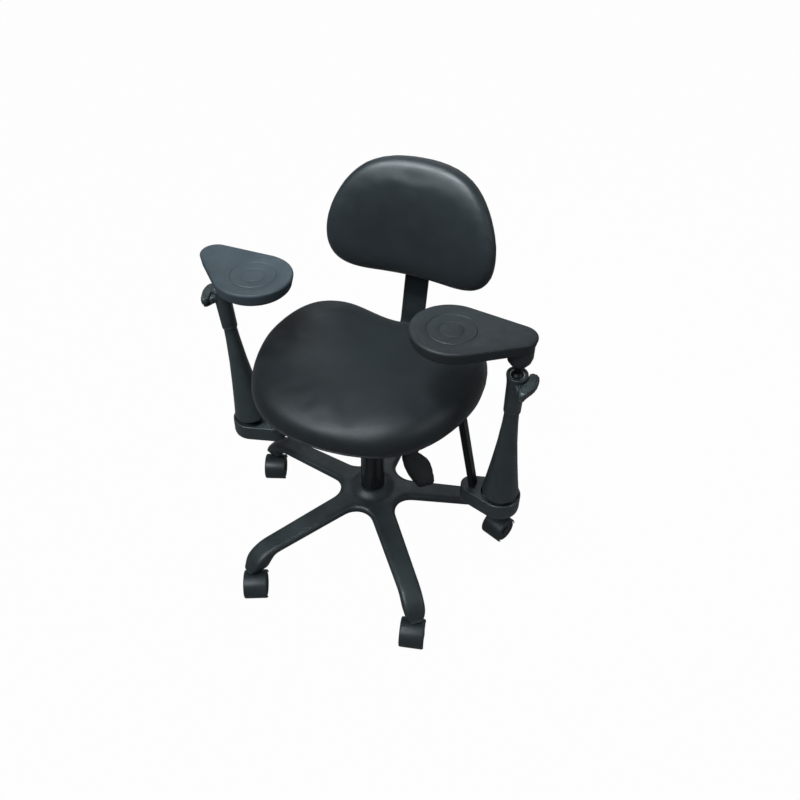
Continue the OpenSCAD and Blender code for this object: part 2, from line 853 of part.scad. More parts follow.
module receiver() {
    half = bar_w / 2 + run_gap;
    for (s = [-1, 1])
        translate([0, arm_y + s * (half + receiver_wall / 2), mech_top_z - receiver_h])
            difference() {
                translate([receiver_in, -receiver_wall / 2, 0])
                    cube([receiver_out - receiver_in, receiver_wall, receiver_h]);
                translate([receiver_out - receiver_h, 0, 0])
                    rotate([90, 0, 0])
                        linear_extrude(2 * receiver_wall, center = true)
                            difference() {
                                translate([cut, -cut])
                                    square(receiver_h);
                                translate([0, receiver_h])
                                    circle(receiver_h);
                            }
            }
    lip_z = bar_top_z - bar_t - run_gap - lip_t;
    for (s = [-1, 1])
        translate([receiver_in, arm_y + s * (half - lip_reach / 2) - lip_reach / 2, lip_z])
            cube([lip_out - receiver_in, lip_reach, lip_t]);
    translate([knob_x - knob_bridge / 2, arm_y - half - fix_gap, lip_z])
        cube([knob_bridge, 2 * (half + fix_gap), lip_t]);
}

module arm_carrier() {
    color([0.12, 0.12, 0.13])
    difference() {
        union() {
            translate([-carrier_half + carrier_w / 2, arm_y - carrier_w / 2, mech_top_z])
                cube([2 * carrier_half - carrier_w, carrier_w, carrier_t]);
            for (s = [-1, 1])
                translate([s * (carrier_half - carrier_w / 2), arm_y, mech_top_z])
                    cylinder(h = carrier_t, r = carrier_w / 2);
            receiver();
            mirror([1, 0, 0])
                receiver();
        }
        for (s = [-1, 1])
            translate([s * knob_x, arm_y, mech_z - mech_h])
                cylinder(h = 2 * mech_h - bar_t, r = knob_screw_r + run_gap);
        translate([0, 0, mech_z])
            screws_at()
                cylinder(h = mech_h + carrier_t + cut, r = screw_r + fix_gap);
        for (x = [-1, 1], y = [-1, 1])
            translate([x * mech_screw_at[0], flange_y + y * mech_screw_at[1], mech_z])
                cylinder(h = mech_h + carrier_t + cut, r = mech_boss_r + cut);
        translate([0, 0, mech_z])
            cylinder(h = mech_h + carrier_t - tube_floor, r = 2 * button_r);
    }
}

// Height lever

module lever_rod() {
    color([0.1, 0.1, 0.11])
    at_lever()
        difference() {
            union() {
                rotate([90, 0, 0])
                    translate([0, 0, -lever_eye_w / 2])
                        cylinder(h = lever_eye_w, r = lever_eye_r);
                rotate([0, 90, 0])
                    cylinder(h = lever_len, r = lever_rod_r - lever_side_gap);
            }
            rotate([90, 0, 0])
                translate([0, 0, -lever_eye_w])
                    cylinder(h = 2 * lever_eye_w, r = lever_pin_r + run_gap);
        }
}

module lever_paddle() {
    half_len = paddle_len / 2;
    half_w = paddle_w / 2;
    lens_r = (half_len * half_len + half_w * half_w) / (2 * half_w);
    crown_r = 4 * half_len;
    thick = 2 * lever_rod_r;
    socket = lever_len / 5;
    color([0.09, 0.09, 0.1])
    at_lever()
        difference() {
            union() {
                translate([lever_len - socket, 0, 0])
                    rotate([0, 90, 0])
                        cylinder(h = socket + lever_rod_r, r = lever_rod_r + tube_wall);
                translate([lever_len, 0, 0])
                    rotate([0, paddle_slope, 0])
                        translate([half_len - socket, 0, 0])
                            intersection() {
                                linear_extrude(thick, center = true)
                                    intersection() {
                                        translate([0, lens_r - half_w])
                                            circle(lens_r, $fn = 96);
                                        translate([0, half_w - lens_r])
                                            circle(lens_r, $fn = 96);
                                        translate([-half_len, -half_w])
                                            square([1.78 * half_len, paddle_w]);
                                    }
                                translate([0, 0, lever_rod_r - crown_r])
                                    sphere(crown_r, $fn = 240);
                                translate([0, 0, crown_r - lever_rod_r])
                                    sphere(crown_r, $fn = 240);
                            }
            }
            rotate([0, 90, 0])
                cylinder(h = lever_len + fix_gap, r = lever_rod_r - lever_side_gap + fix_gap);
        }
}

// Back stem, from the mechanism to behind the backrest

module stem_section() {
    chamfered(stem_bar_t, stem_bar_w, stem_chamfer);
}

module back_stem() {
    color([0.13, 0.13, 0.14])
    difference() {
        union() {
            translate([0, stem_front_y, back_pivot[2]])
                rotate([0, 0, 90])
                    rotate([0, 90, 0])
                        linear_extrude(stem_bend_y - stem_front_y)
                            stem_section();
            translate([0, stem_bend_y, back_pivot[2] + stem_bend_r])
                rotate([0, 0, 90])
                    rotate([90, 0, 0])
                        rotate([0, 0, -90])
                            rotate_extrude(angle = stem_bend_deg)
                                translate([stem_bend_r, 0])
                                    stem_section();
            translate(stem_foot)
                rotate([-stem_lean, 0, 0])
                    rotate([0, 0, 90])
                        translate([0, 0, -weld])
                            linear_extrude(stem_upright + weld)
                                stem_section();
            translate(back_pivot)
                rotate([0, 90, 0])
                    cylinder(h = stem_bar_w, r = stem_eye_r, center = true);
        }
        translate(back_pivot)
            rotate([0, 90, 0])
                cylinder(h = 2 * stem_bar_w, r = pin_r + run_gap, center = true);
    }
}

module back_pin() {
    half = mech_rear_half_w + pin_over;
    color([0.6, 0.6, 0.62])
    translate(back_pivot)
        rotate([0, 90, 0])
            cylinder(h = 2 * half, r = pin_r, center = true);
}

// Frame of the upright at the sleeve's middle
module at_sleeve() {
    translate(stem_foot)
        rotate([-stem_lean, 0, 0])
            translate([0, 0, sleeve_up])
                children();
}

module back_sleeve() {
    depth = stem_bar_t + 2 * sleeve_wall;
    width = stem_bar_w + 2 * sleeve_wall;
    color([0.11, 0.11, 0.12])
    at_sleeve()
        difference() {
            union() {
                translate([0, 0, -sleeve_h / 2])
                    linear_extrude(sleeve_h)
                        chamfered(width, depth, sleeve_edge);
                for (s = [-1, 1])
                    translate([s * (tilt_ear_in + tilt_ear_t / 2), -tilt_pivot_y, 0])
                        rotate([0, 90, 0]) {
                            cylinder(h = tilt_ear_t, r = tilt_ear_r, center = true);
                            translate([-tilt_ear_r, 0, -tilt_ear_t / 2])
                                cube([2 * tilt_ear_r, tilt_pivot_y - depth / 2 + cut,
                                    tilt_ear_t]);
                        }
                translate([0, depth / 2 - cut, 0])
                    rotate([-90, 0, 0])
                        cylinder(h = 2 * sleeve_wall, r = knob_neck_r);
            }
            translate([0, 0, -sleeve_h])
                linear_extrude(2 * sleeve_h)
                    chamfered(stem_bar_w + 2 * run_gap, stem_bar_t + 2 * run_gap, stem_chamfer);
            rotate([-90, 0, 0])
                cylinder(h = 2 * depth, r = knob_screw_r + run_gap);
            translate([0, -tilt_pivot_y, 0])
                rotate([0, 90, 0])
                    cylinder(h = stem_bar_w, r = tilt_pin_r + fix_gap, center = true);
        }
}

module back_knob() {
    depth = stem_bar_t / 2 + run_gap;
    boss_end = stem_bar_t / 2 + 3 * sleeve_wall - cut;
    color([0.08, 0.08, 0.09])
    at_sleeve()
        rotate([-90, 0, 0]) {
            translate([0, 0, depth])
                cylinder(h = boss_end - depth + knob_neck_h, r = knob_screw_r);
            translate([0, 0, boss_end + run_gap])
                hand_knob();
        }
}

module tilt_pin() {
    half = tilt_ear_in + tilt_ear_t + tilt_pin_over;
    color([0.6, 0.6, 0.62])
    translate(tilt_at)
        rotate([0, 90, 0])
            cylinder(h = 2 * half, r = tilt_pin_r, center = true);
}

// Backrest

back_curve = closed_curve(both_halves(back_outline_shares), back_steps);

// Place of a backrest point: its share of the outline and its distance in front of the shell
function back_point(p, share, depth) =
    let (x = p[0] * share * back_half_w,
        z = (back_mid_share + (p[1] - back_mid_share) * share) * back_h,
        y = -depth - x * x / (2 * back_curve_r))
    [x, back_pad_y + y * cos(back_lean) + (z - back_mid_share * back_h) * sin(back_lean),
        back_low_z + z * cos(back_lean) - y * sin(back_lean)];
function back_ring(share, depth) = [for (p = back_curve) back_point(p, share, depth)];

module back_cushion() {
    color([0.14, 0.15, 0.17])
    skin(concat([for (s = back_inner_shares) back_ring(s, soft_gap)],
        [for (r = back_ring_shares) back_ring(r[0], soft_gap + r[1] * back_t)]));
}

module back_shell() {
    lug_half = tilt_ear_in - tilt_lug_side_gap;
    color([0.1, 0.1, 0.11])
    difference() {
        union() {
            skin(concat([for (s = back_inner_shares) back_ring(s * shell_edge_share, -shell_t)],
                [back_ring(shell_edge_share, -shell_t + rib_t),
                    back_ring(shell_edge_share, 0)],
                [for (i = [len(back_inner_shares) - 1 : -1 : 0])
                    back_ring(back_inner_shares[i], 0)]));
            translate(tilt_at)
                rotate([0, 90, 0]) {
                    cylinder(h = 2 * lug_half, r = tilt_ear_r, center = true);
                    rotate([0, 0, -back_lean])
                        translate([-tilt_lug_h / 4, -tilt_lug_len, -lug_half])
                            cube([tilt_lug_h / 2, tilt_lug_len, 2 * lug_half]);
                }
        }
        translate(tilt_at)
            rotate([0, 90, 0])
                cylinder(h = stem_bar_w, r = tilt_pin_r + run_gap, center = true);
    }
}

// Arms, built on the left and mirrored to the right

module bar_section(gap) {
    chamfered(bar_t + 2 * gap, bar_w + 2 * gap, bar_chamfer);
}

// Straight drop of the bar, with a gap round it
module bar_drop(gap) {
    translate([bend_end[0], arm_y, bend_end[1]])
        rotate([0, 90 + bar_bend_deg, 0])
            translate([0, 0, -weld])
                linear_extrude(bar_drop_len + gap)
                    bar_section(gap);
}

// Bar with a row of dimples for the lock screw under its inner end
module arm_bar() {
    color([0.1, 0.1, 0.11])
    difference() {
        union() {
            translate([bar_in_x, arm_y, bar_z])
                rotate([0, 90, 0])
                    linear_extrude(bar_bend_x - bar_in_x + weld)
                        bar_section(0);
            translate([bar_bend_x, arm_y, bar_z - bar_bend_r])
                rotate([90, 0, 0])
                    rotate([0, 0, 90 - bar_bend_deg])
                        rotate_extrude(angle = bar_bend_deg)
                            translate([bar_bend_r, 0])
                                bar_section(0);
            bar_drop(0);
        }
        for (k = [0 : dimple_count - 1])
            translate([knob_x - k * dimple_step, arm_y, bar_top_z - bar_t - cut])
                cylinder(h = cut + dimple_depth, r = knob_screw_r + run_gap);
    }
}

module housing_body() {
    hull()
        for (end = [[bar_foot_x, housing_inner_r], [post_x, housing_r]])
            translate([end[0], arm_y, housing_z]) {
                cylinder(h = housing_chamfer, r1 = end[1] - housing_chamfer, r2 = end[1], $fn = 40);
                cylinder(h = housing_h, r = end[1] - cut, $fn = 40);
                translate([0, 0, housing_chamfer])
                    cylinder(h = housing_h - housing_chamfer - cut, r = end[1], $fn = 40);
            }
}

// Two ears of a fork round a trunnion along X, from their root up to the axis
module fork_ears(root) {
    for (s = [-1, 1])
        translate([s * (ear_in + ear_t / 2), 0, 0])
            rotate([0, 90, 0]) {
                cylinder(h = ear_t, r = ear_r, center = true);
                translate([0, -ear_r, -ear_t / 2])
                    cube([root, 2 * ear_r, ear_t]);
            }
}

module trunnion_hole() {
    rotate([0, 90, 0])
        cylinder(h = 2 * (ear_in + ear_t + cut), r = trunnion_r + run_gap, center = true);
}

module link_housing() {
    color([0.13, 0.14, 0.15])
    difference() {
        union() {
            difference() {
                housing_body();
                translate([post_x, arm_y, housing_top_z - pocket_depth])
                    cylinder(h = pocket_depth + cut, r = pocket_r);
            }
            translate([post_x, arm_y, pivot_z])
                fork_ears(post_pivot_rise + pocket_depth + cut);
        }
        translate([post_x, arm_y, pivot_z])
            trunnion_hole();
        bar_drop(fix_gap);
        translate([post_x, arm_y, housing_z - cut])
            cylinder(h = cap_spigot_h + fix_gap + cut, r = cap_spigot_r + fix_gap);
    }
}

module link_cap() {
    color([0.07, 0.07, 0.08])
    translate([post_x, arm_y, housing_z - cap_h])
        rotate_extrude()
            polygon(concat([[0, 0]], arc([cap_r - cap_round, cap_round], cap_round, -90, 0, 5),
                [[cap_r, cap_h - fix_gap], [cap_spigot_r, cap_h - fix_gap],
                    [cap_spigot_r, cap_h + cap_spigot_h], [0, cap_h + cap_spigot_h]]));
}

module lock_knob() {
    lip_z = bar_top_z - bar_t - run_gap - lip_t;
    color([0.08, 0.08, 0.09])
    translate([knob_x, arm_y, 0]) {
        translate([0, 0, lip_z - knob_neck_h])
            cylinder(h = bar_top_z - bar_t - run_gap - lip_z + knob_neck_h, r = knob_screw_r);
        translate([0, 0, lip_z - run_gap])
            mirror([0, 0, 1])
                hand_knob();
    }
}

// Frame of the post: origin at its pivot, +Z up the post
module at_post(rest) {
    translate([post_x, arm_y, pivot_z])
        rotate([rest[0], 0, 0])
            rotate([0, rest[1], 0])
                children();
}

module at_collar(rest) {
    at_post(rest)
        translate([0, 0, rest[2]])
            children();
}

module universal_cross(rest) {
    color([0.55, 0.55, 0.58])
    translate([post_x, arm_y, pivot_z])
        union() {
            sphere(cross_r);
            rotate([0, 90, 0])
                cylinder(h = 2 * (ear_in + ear_t), r = trunnion_r, center = true);
            rotate([90 + rest[0], 0, 0])
                cylinder(h = 2 * (ear_in + ear_t), r = trunnion_r, center = true);
        }
}

function post_outline() = concat([[post_low_r, 0], [post_base_r, post_band]],
    [for (p = post_profile_shares)
        [neck_r + (post_base_r - neck_r) * p[1], post_len * p[0]]],
    [[neck_r, post_len * 0.8], [neck_r, post_len - cut], [neck_r - cut, post_len]]);

module post(rest) {
    color([0.19, 0.2, 0.21])
    at_post(rest)
        difference() {
            union() {
                rotate_extrude()
                    polygon(concat([[0, post_cavity_h], [post_cavity_top_r, post_cavity_h],
                        [post_cavity_r, post_band], [post_cavity_r, 0]], post_outline(),
                        [[0, post_len]]));
                rotate([0, 0, 90])
                    mirror([0, 0, 1])
                        fork_ears(post_cavity_h + cut);
            }
            rotate([0, 0, 90])
                trunnion_hole();
        }
}

module height_collar(rest) {
    rim = ball_z + cup_rim;
    color([0.09, 0.09, 0.1])
    at_collar(rest) {
        difference() {
            union() {
                rotate_extrude()
                    polygon([[0, collar_low], [collar_r - cut, collar_low],
                        [collar_r, collar_low + cut], [collar_r, ball_z - cup_foot],
                        [collar_r + cut, ball_z - cup_foot / 2], [cup_rim_r - cut, rim - 2 * cut],
                        [cup_rim_r, rim - cut], [cup_rim_r - cut, rim], [0, rim]]);
                translate([-collar_ear_x, -collar_ear_y, collar_ear_z])
                    rotate([0, 90, 0])
                        cylinder(h = 2 * collar_ear_x, r = collar_ear_r);
                translate([-collar_ear_x, -collar_ear_y, collar_ear_z - collar_ear_r])
                    cube([2 * collar_ear_x, collar_ear_y - neck_r, 2 * collar_ear_r]);
            }
            translate([0, 0, collar_low - cut])
                cylinder(h = collar_bore_top - collar_low + cut, r = neck_r + run_gap);
            translate([0, 0, ball_z])
                sphere(cup_r);
            translate([0, 0, ball_z + cup_rim - cut])
                cylinder(h = 2 * cut, r = sqrt(cup_r * cup_r - cup_rim * cup_rim));
            translate([-collar_slit / 2, -collar_ear_y - 2 * collar_ear_r, collar_low - cut])
                cube([collar_slit, collar_ear_y + 2 * collar_ear_r, rim - collar_low + 2 * cut]);
            translate([-cam_x, -collar_ear_y, collar_ear_z])
                rotate([0, 90, 0])
                    cylinder(h = 2 * cam_x, r = bolt_r + run_gap);
        }
        // Clamping bolt with its cross pin
        translate([0, -collar_ear_y, collar_ear_z]) {
            translate([-collar_ear_x - bolt_head_h - run_gap, 0, 0])
                rotate([0, 90, 0])
                    cylinder(h = bolt_head_h, r = bolt_head_r);
            translate([-collar_ear_x - bolt_head_h, 0, 0])
                rotate([0, 90, 0])
                    cylinder(h = collar_ear_x + bolt_head_h + cam_x, r = bolt_r);
            translate([cam_x, 0, -cam_h / 2])
                cylinder(h = cam_h, r = cam_pin_r);
        }
    }
}

module wing_plan() {
    polygon(concat([[0, -wing_t]], arc([wing_len, 0], wing_t / 2, -90, 90, 8), [[0, wing_t]]));
}

module wing_side() {
    end = wing_len + wing_t;
    polygon([[cam_r / 2, -wing_root_h / 2], [end, -wing_tip_h / 2], [end, wing_tip_h / 2],
        [cam_r / 2, wing_root_h / 2]]);
}

module clamp_lever(rest) {
    color([0.05, 0.05, 0.06])
    at_collar(rest)
        translate([cam_x, -collar_ear_y, collar_ear_z])
            difference() {
                union() {
                    cylinder(h = cam_h, r = cam_r, center = true);
                    rotate([0, 0, wing_deg])
                        intersection() {
                            linear_extrude(cam_h, center = true)
                                wing_plan();
                            rotate([90, 0, 0])
                                linear_extrude(4 * wing_t, center = true)
                                    wing_side();
                        }
                }
                cylinder(h = 2 * cam_h, r = cam_pin_r + run_gap, center = true);
                cylinder(h = cam_slot, r = cam_r + wing_t, center = true);
            }
}

module ball_liner(rest) {
    color([0.75, 0.75, 0.72])
    at_collar(rest)
        translate([0, 0, ball_z])
            difference() {
                sphere(liner_r);
                sphere(ball_r + run_gap);
                translate([0, 0, liner_rim])
                    cylinder(h = liner_r, r = liner_r);
            }
}

module ball_rod(rest) {
    color([0.5, 0.5, 0.52])
    translate(ball_at(rest))
        union() {
            sphere(ball_r);
            cylinder(h = pad_rod_top, r = pad_rod_r);
        }
}

// Middle of the ball for a rest position of the arm
function ball_at(rest) = [post_x, arm_y, pivot_z]
    + (ball_z + rest[2]) * [sin(rest[1]), -cos(rest[1]) * sin(rest[0]), cos(rest[1]) * cos(rest[0])];

// Outline of the pad: two round ends and the straight sides that touch both
function pad_outline(inset) =
    let (span = pad_narrow_at - pad_wide_at,
        turn = atan2(span[1], span[0]),
        lean = acos((pad_wide_r - pad_narrow_r) / norm(span)))
    concat(arc(pad_wide_at, pad_wide_r - inset, turn + lean, turn + 360 - lean, 2 * pad_steps),
        arc(pad_narrow_at, pad_narrow_r - inset, turn - lean, turn + lean, pad_steps));
function pad_ring(inset, z) = [for (p = pad_outline(inset)) [p[0], p[1], z]];

module pad_base(rest, turn) {
    shell = pad_rise;
    color([0.1, 0.1, 0.11])
    translate(ball_at(rest))
        difference() {
            union() {
                rotate_extrude()
                    polygon(concat([[0, bell_profile[0][1]]], bell_profile,
                        [[bell_profile[3][0], shell + cut], [0, shell + cut]]));
                translate([0, 0, shell])
                    rotate([0, 0, turn])
                        skin([pad_ring(pad_shell_inset + rib_t, 0), pad_ring(pad_shell_inset, rib_t),
                            pad_ring(pad_shell_inset, pad_shell_t)]);
            }
            cylinder(h = pad_rod_top + run_gap, r = pad_rod_r + run_gap);
        }
}

// Depth of the pad's dish at a distance from its middle
function dish_at(r) = pad_dish_depth * (1 - pow(r / pad_dish_r, 2));

module pad_cushion(rest, turn) {
    color([0.2, 0.22, 0.24])
    translate(ball_at(rest) + [0, 0, pad_rise + pad_shell_t + soft_gap])
        rotate([0, 0, turn])
        difference() {
            skin([for (r = pad_ring_shares) pad_ring(r[0] * pad_wide_r / 2, r[1] * pad_t)]);
            translate([pad_wide_at[0], pad_wide_at[1], pad_t])
                rotate_extrude()
                    polygon(concat([[0, -pad_dish_depth]],
                        [for (r = pad_ring_r) each [[r - pad_ring_w, -dish_at(r)],
                            [r, -dish_at(r) - pad_ring_depth], [r + pad_ring_w, -dish_at(r)]]],
                        [[pad_dish_r, 0], [pad_dish_r, cut], [0, cut]]));
        }
}

// Casters, built about the stem with the axle towards +X

module hood_opening() {
    polygon(concat([[0, 0]], [for (a = hood_open_deg) 2 * hood_r * [cos(a), sin(a)]]));
}

module hood_section() {
    difference() {
        circle(hood_r);
        circle(hood_in_r);
        hood_opening();
    }
}

// Hood seen along its trail: narrower at the top, round at its lower corners
module hood_front() {
    side = hood_w / 2;
    top = hood_top_w / 2;
    high = wheel_r + hood_r;
    polygon(concat(arc([side - hood_corner_r, hood_corner_r], hood_corner_r, -90, 0, 6),
        [[side, hood_shoulder_z], [top, high], [-top, high], [-side, hood_shoulder_z]],
        arc([hood_corner_r - side, hood_corner_r], hood_corner_r, 180, 270, 6)));
}

module web_section() {
    difference() {
        circle(hood_in_r + hood_wall / 2);
        hood_opening();
    }
    circle(axle_boss_r);
}

// Hood, with its stem and axle
module caster_hood() {
    axle_half = web_half + wheel_gap + wheel_w - wheel_cap;
    color([0.16, 0.17, 0.18]) {
        difference() {
            union() {
                translate([trail, 0, wheel_r])
                    rotate([90, 0, 0])
                        linear_extrude(2 * web_half, center = true)
                            web_section();
                intersection() {
                    translate([trail, 0, wheel_r])
                        rotate([90, 0, 0])
                            linear_extrude(hood_w, center = true)
                                hood_section();
                    translate([trail, 0, 0])
                        rotate([90, 0, 90])
                            linear_extrude(2 * hood_r + cut, center = true)
                                hood_front();
                }
                translate([0, 0, swivel_boss_low])
                    cylinder(h = swivel_boss_z - swivel_boss_low, r = swivel_boss_r);
                translate([0, 0, swivel_boss_z])
                    cylinder(h = flange_t, r = flange_r);
            }
            for (s = [-1, 1])
                translate([trail, s * (web_half + hood_w / 2), wheel_r])
                    rotate([90, 0, 0])
                        cylinder(h = hood_w, r = hood_in_r, center = true);
        }
        translate([trail, 0, wheel_r])
            rotate([90, 0, 0])
                cylinder(h = 2 * axle_half, r = axle_r, center = true);
        translate([0, 0, swivel_boss_low])
            cylinder(h = boss_z + stem_len - swivel_boss_low, r = stem_r);
    }
}

// Wheel on one side of the web
module caster_wheel(side) {
    bore = wheel_w - wheel_cap + run_gap;
    disc = wheel_disc_shares * wheel_r;
    color([0.1, 0.1, 0.11])
    translate([trail, side * (web_half + wheel_gap), wheel_r])
        rotate([-90 * side, 0, 0])
            rotate_extrude()
                polygon(concat([[axle_r + run_gap, 0]],
                    arc([wheel_r - wheel_edge, wheel_edge], wheel_edge, -90, 0, 5),
                    arc([wheel_r - wheel_edge, wheel_w - wheel_edge], wheel_edge, 0, 90, 5),
                    [[disc[1], wheel_w], [disc[1] - wheel_edge, wheel_w - wheel_disc_depth],
                        [disc[0], wheel_w - wheel_disc_depth], [0, wheel_w - wheel_disc_depth / 2],
                        [0, bore], [axle_r + run_gap, bore]]));
}

module at_caster(n) {
    rotate([0, 0, first_arm_deg + (n - 1) * 2 * arm_half_deg])
        translate([stem_circle_r, 0, 0])
            rotate([0, 0, caster_trail_deg[n - 1] - first_arm_deg - (n - 1) * 2 * arm_half_deg])
                children();
}

star_base();
column_tube();
column_bush();
piston_rod();
thrust_bearing();
retaining_clip();
gas_cylinder();
seat_mechanism();
seat_pan();
seat_cushion();
seat_screws();
arm_carrier();
lever_rod();
lever_paddle();
back_stem();
back_pin();
back_sleeve();
back_knob();
tilt_pin();
back_shell();
back_cushion();
arm_bar();  // left_arm_bar
link_housing();  // left_link_housing
link_cap();  // left_link_cap
lock_knob();  // left_lock_knob
universal_cross(left_rest);  // left_universal_cross
post(left_rest);  // left_post
height_collar(left_rest);  // left_height_collar
clamp_lever(left_rest);  // left_clamp_lever
ball_liner(left_rest);  // left_ball_liner
ball_rod(left_rest);  // left_ball_rod
pad_base(left_rest, left_pad_turn);  // left_pad_base
pad_cushion(left_rest, left_pad_turn);  // left_pad_cushion
mirror([1, 0, 0]) arm_bar();  // right_arm_bar
mirror([1, 0, 0]) link_housing();  // right_link_housing
mirror([1, 0, 0]) link_cap();  // right_link_cap
mirror([1, 0, 0]) lock_knob();  // right_lock_knob
mirror([1, 0, 0]) universal_cross(right_rest);  // right_universal_cross
mirror([1, 0, 0]) post(right_rest);  // right_post
mirror([1, 0, 0]) height_collar(right_rest);  // right_height_collar
mirror([1, 0, 0]) clamp_lever(right_rest);  // right_clamp_lever
mirror([1, 0, 0]) ball_liner(right_rest);  // right_ball_liner
mirror([1, 0, 0]) ball_rod(right_rest);  // right_ball_rod
mirror([1, 0, 0]) pad_base(right_rest, right_pad_turn);  // right_pad_base
mirror([1, 0, 0]) pad_cushion(right_rest, right_pad_turn);  // right_pad_cushion
at_caster(1) caster_hood();  // caster_1_hood
at_caster(1) caster_wheel(1);  // caster_1_wheel_a
at_caster(1) caster_wheel(-1);  // caster_1_wheel_b
at_caster(2) caster_hood();  // caster_2_hood
at_caster(2) caster_wheel(1);  // caster_2_wheel_a
at_caster(2) caster_wheel(-1);  // caster_2_wheel_b
at_caster(3) caster_hood();  // caster_3_hood
at_caster(3) caster_wheel(1);  // caster_3_wheel_a
at_caster(3) caster_wheel(-1);  // caster_3_wheel_b
at_caster(4) caster_hood();  // caster_4_hood
at_caster(4) caster_wheel(1);  // caster_4_wheel_a
at_caster(4) caster_wheel(-1);  // caster_4_wheel_b
at_caster(5) caster_hood();  // caster_5_hood
at_caster(5) caster_wheel(1);  // caster_5_wheel_a
at_caster(5) caster_wheel(-1);  // caster_5_wheel_b
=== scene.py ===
import json
import math

import bmesh
import bpy
from mathutils import Matrix, Vector


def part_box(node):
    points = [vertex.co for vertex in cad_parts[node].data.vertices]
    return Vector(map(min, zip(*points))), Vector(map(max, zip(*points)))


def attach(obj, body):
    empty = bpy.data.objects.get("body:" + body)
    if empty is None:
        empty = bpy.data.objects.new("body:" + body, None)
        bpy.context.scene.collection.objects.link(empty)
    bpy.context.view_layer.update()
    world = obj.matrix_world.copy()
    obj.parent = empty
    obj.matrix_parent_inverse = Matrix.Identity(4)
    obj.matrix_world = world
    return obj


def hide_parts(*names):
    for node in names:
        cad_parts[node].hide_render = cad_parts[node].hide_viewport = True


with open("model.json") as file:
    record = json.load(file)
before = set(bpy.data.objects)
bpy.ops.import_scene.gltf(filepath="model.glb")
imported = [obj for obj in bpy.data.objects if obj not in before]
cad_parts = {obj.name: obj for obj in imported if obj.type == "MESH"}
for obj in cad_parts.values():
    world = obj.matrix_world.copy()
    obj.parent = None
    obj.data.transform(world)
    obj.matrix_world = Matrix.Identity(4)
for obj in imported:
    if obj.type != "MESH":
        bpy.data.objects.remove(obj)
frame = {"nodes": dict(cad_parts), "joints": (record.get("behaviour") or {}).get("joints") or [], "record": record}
nodes = frame["nodes"]
joint_at = {j["name"]: Vector(j["pos_m"]) for j in frame["joints"] if "pos_m" in j}
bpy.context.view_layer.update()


# ---------------------------------------------------------------- camera


def linked(name, data):
    """New object in the scene for some data."""
    obj = bpy.data.objects.new(name, data)
    bpy.context.scene.collection.objects.link(obj)
    return obj


def aimed(obj, place, target):
    """Puts a camera or a lamp at a place and turns it to a target."""
    obj.location = place
    obj.rotation_euler = (Vector(target) - Vector(place)).to_track_quat("-Z", "Y").to_euler()


cam_data = bpy.data.cameras.new("studio_camera")
cam_data.lens = 36.9
cam_data.shift_x = 0.034
cam_data.shift_y = -0.015
cam_data.clip_start = 0.05
cam_data.clip_end = 60
camera = linked("studio_camera", cam_data)
aimed(camera, (0.4975, -1.1174, 1.4156), (0, 0, 0.4))
bpy.context.scene.camera = camera
bpy.context.scene.view_settings.view_transform = "Standard"


# ---------------------------------------------------------------- materials


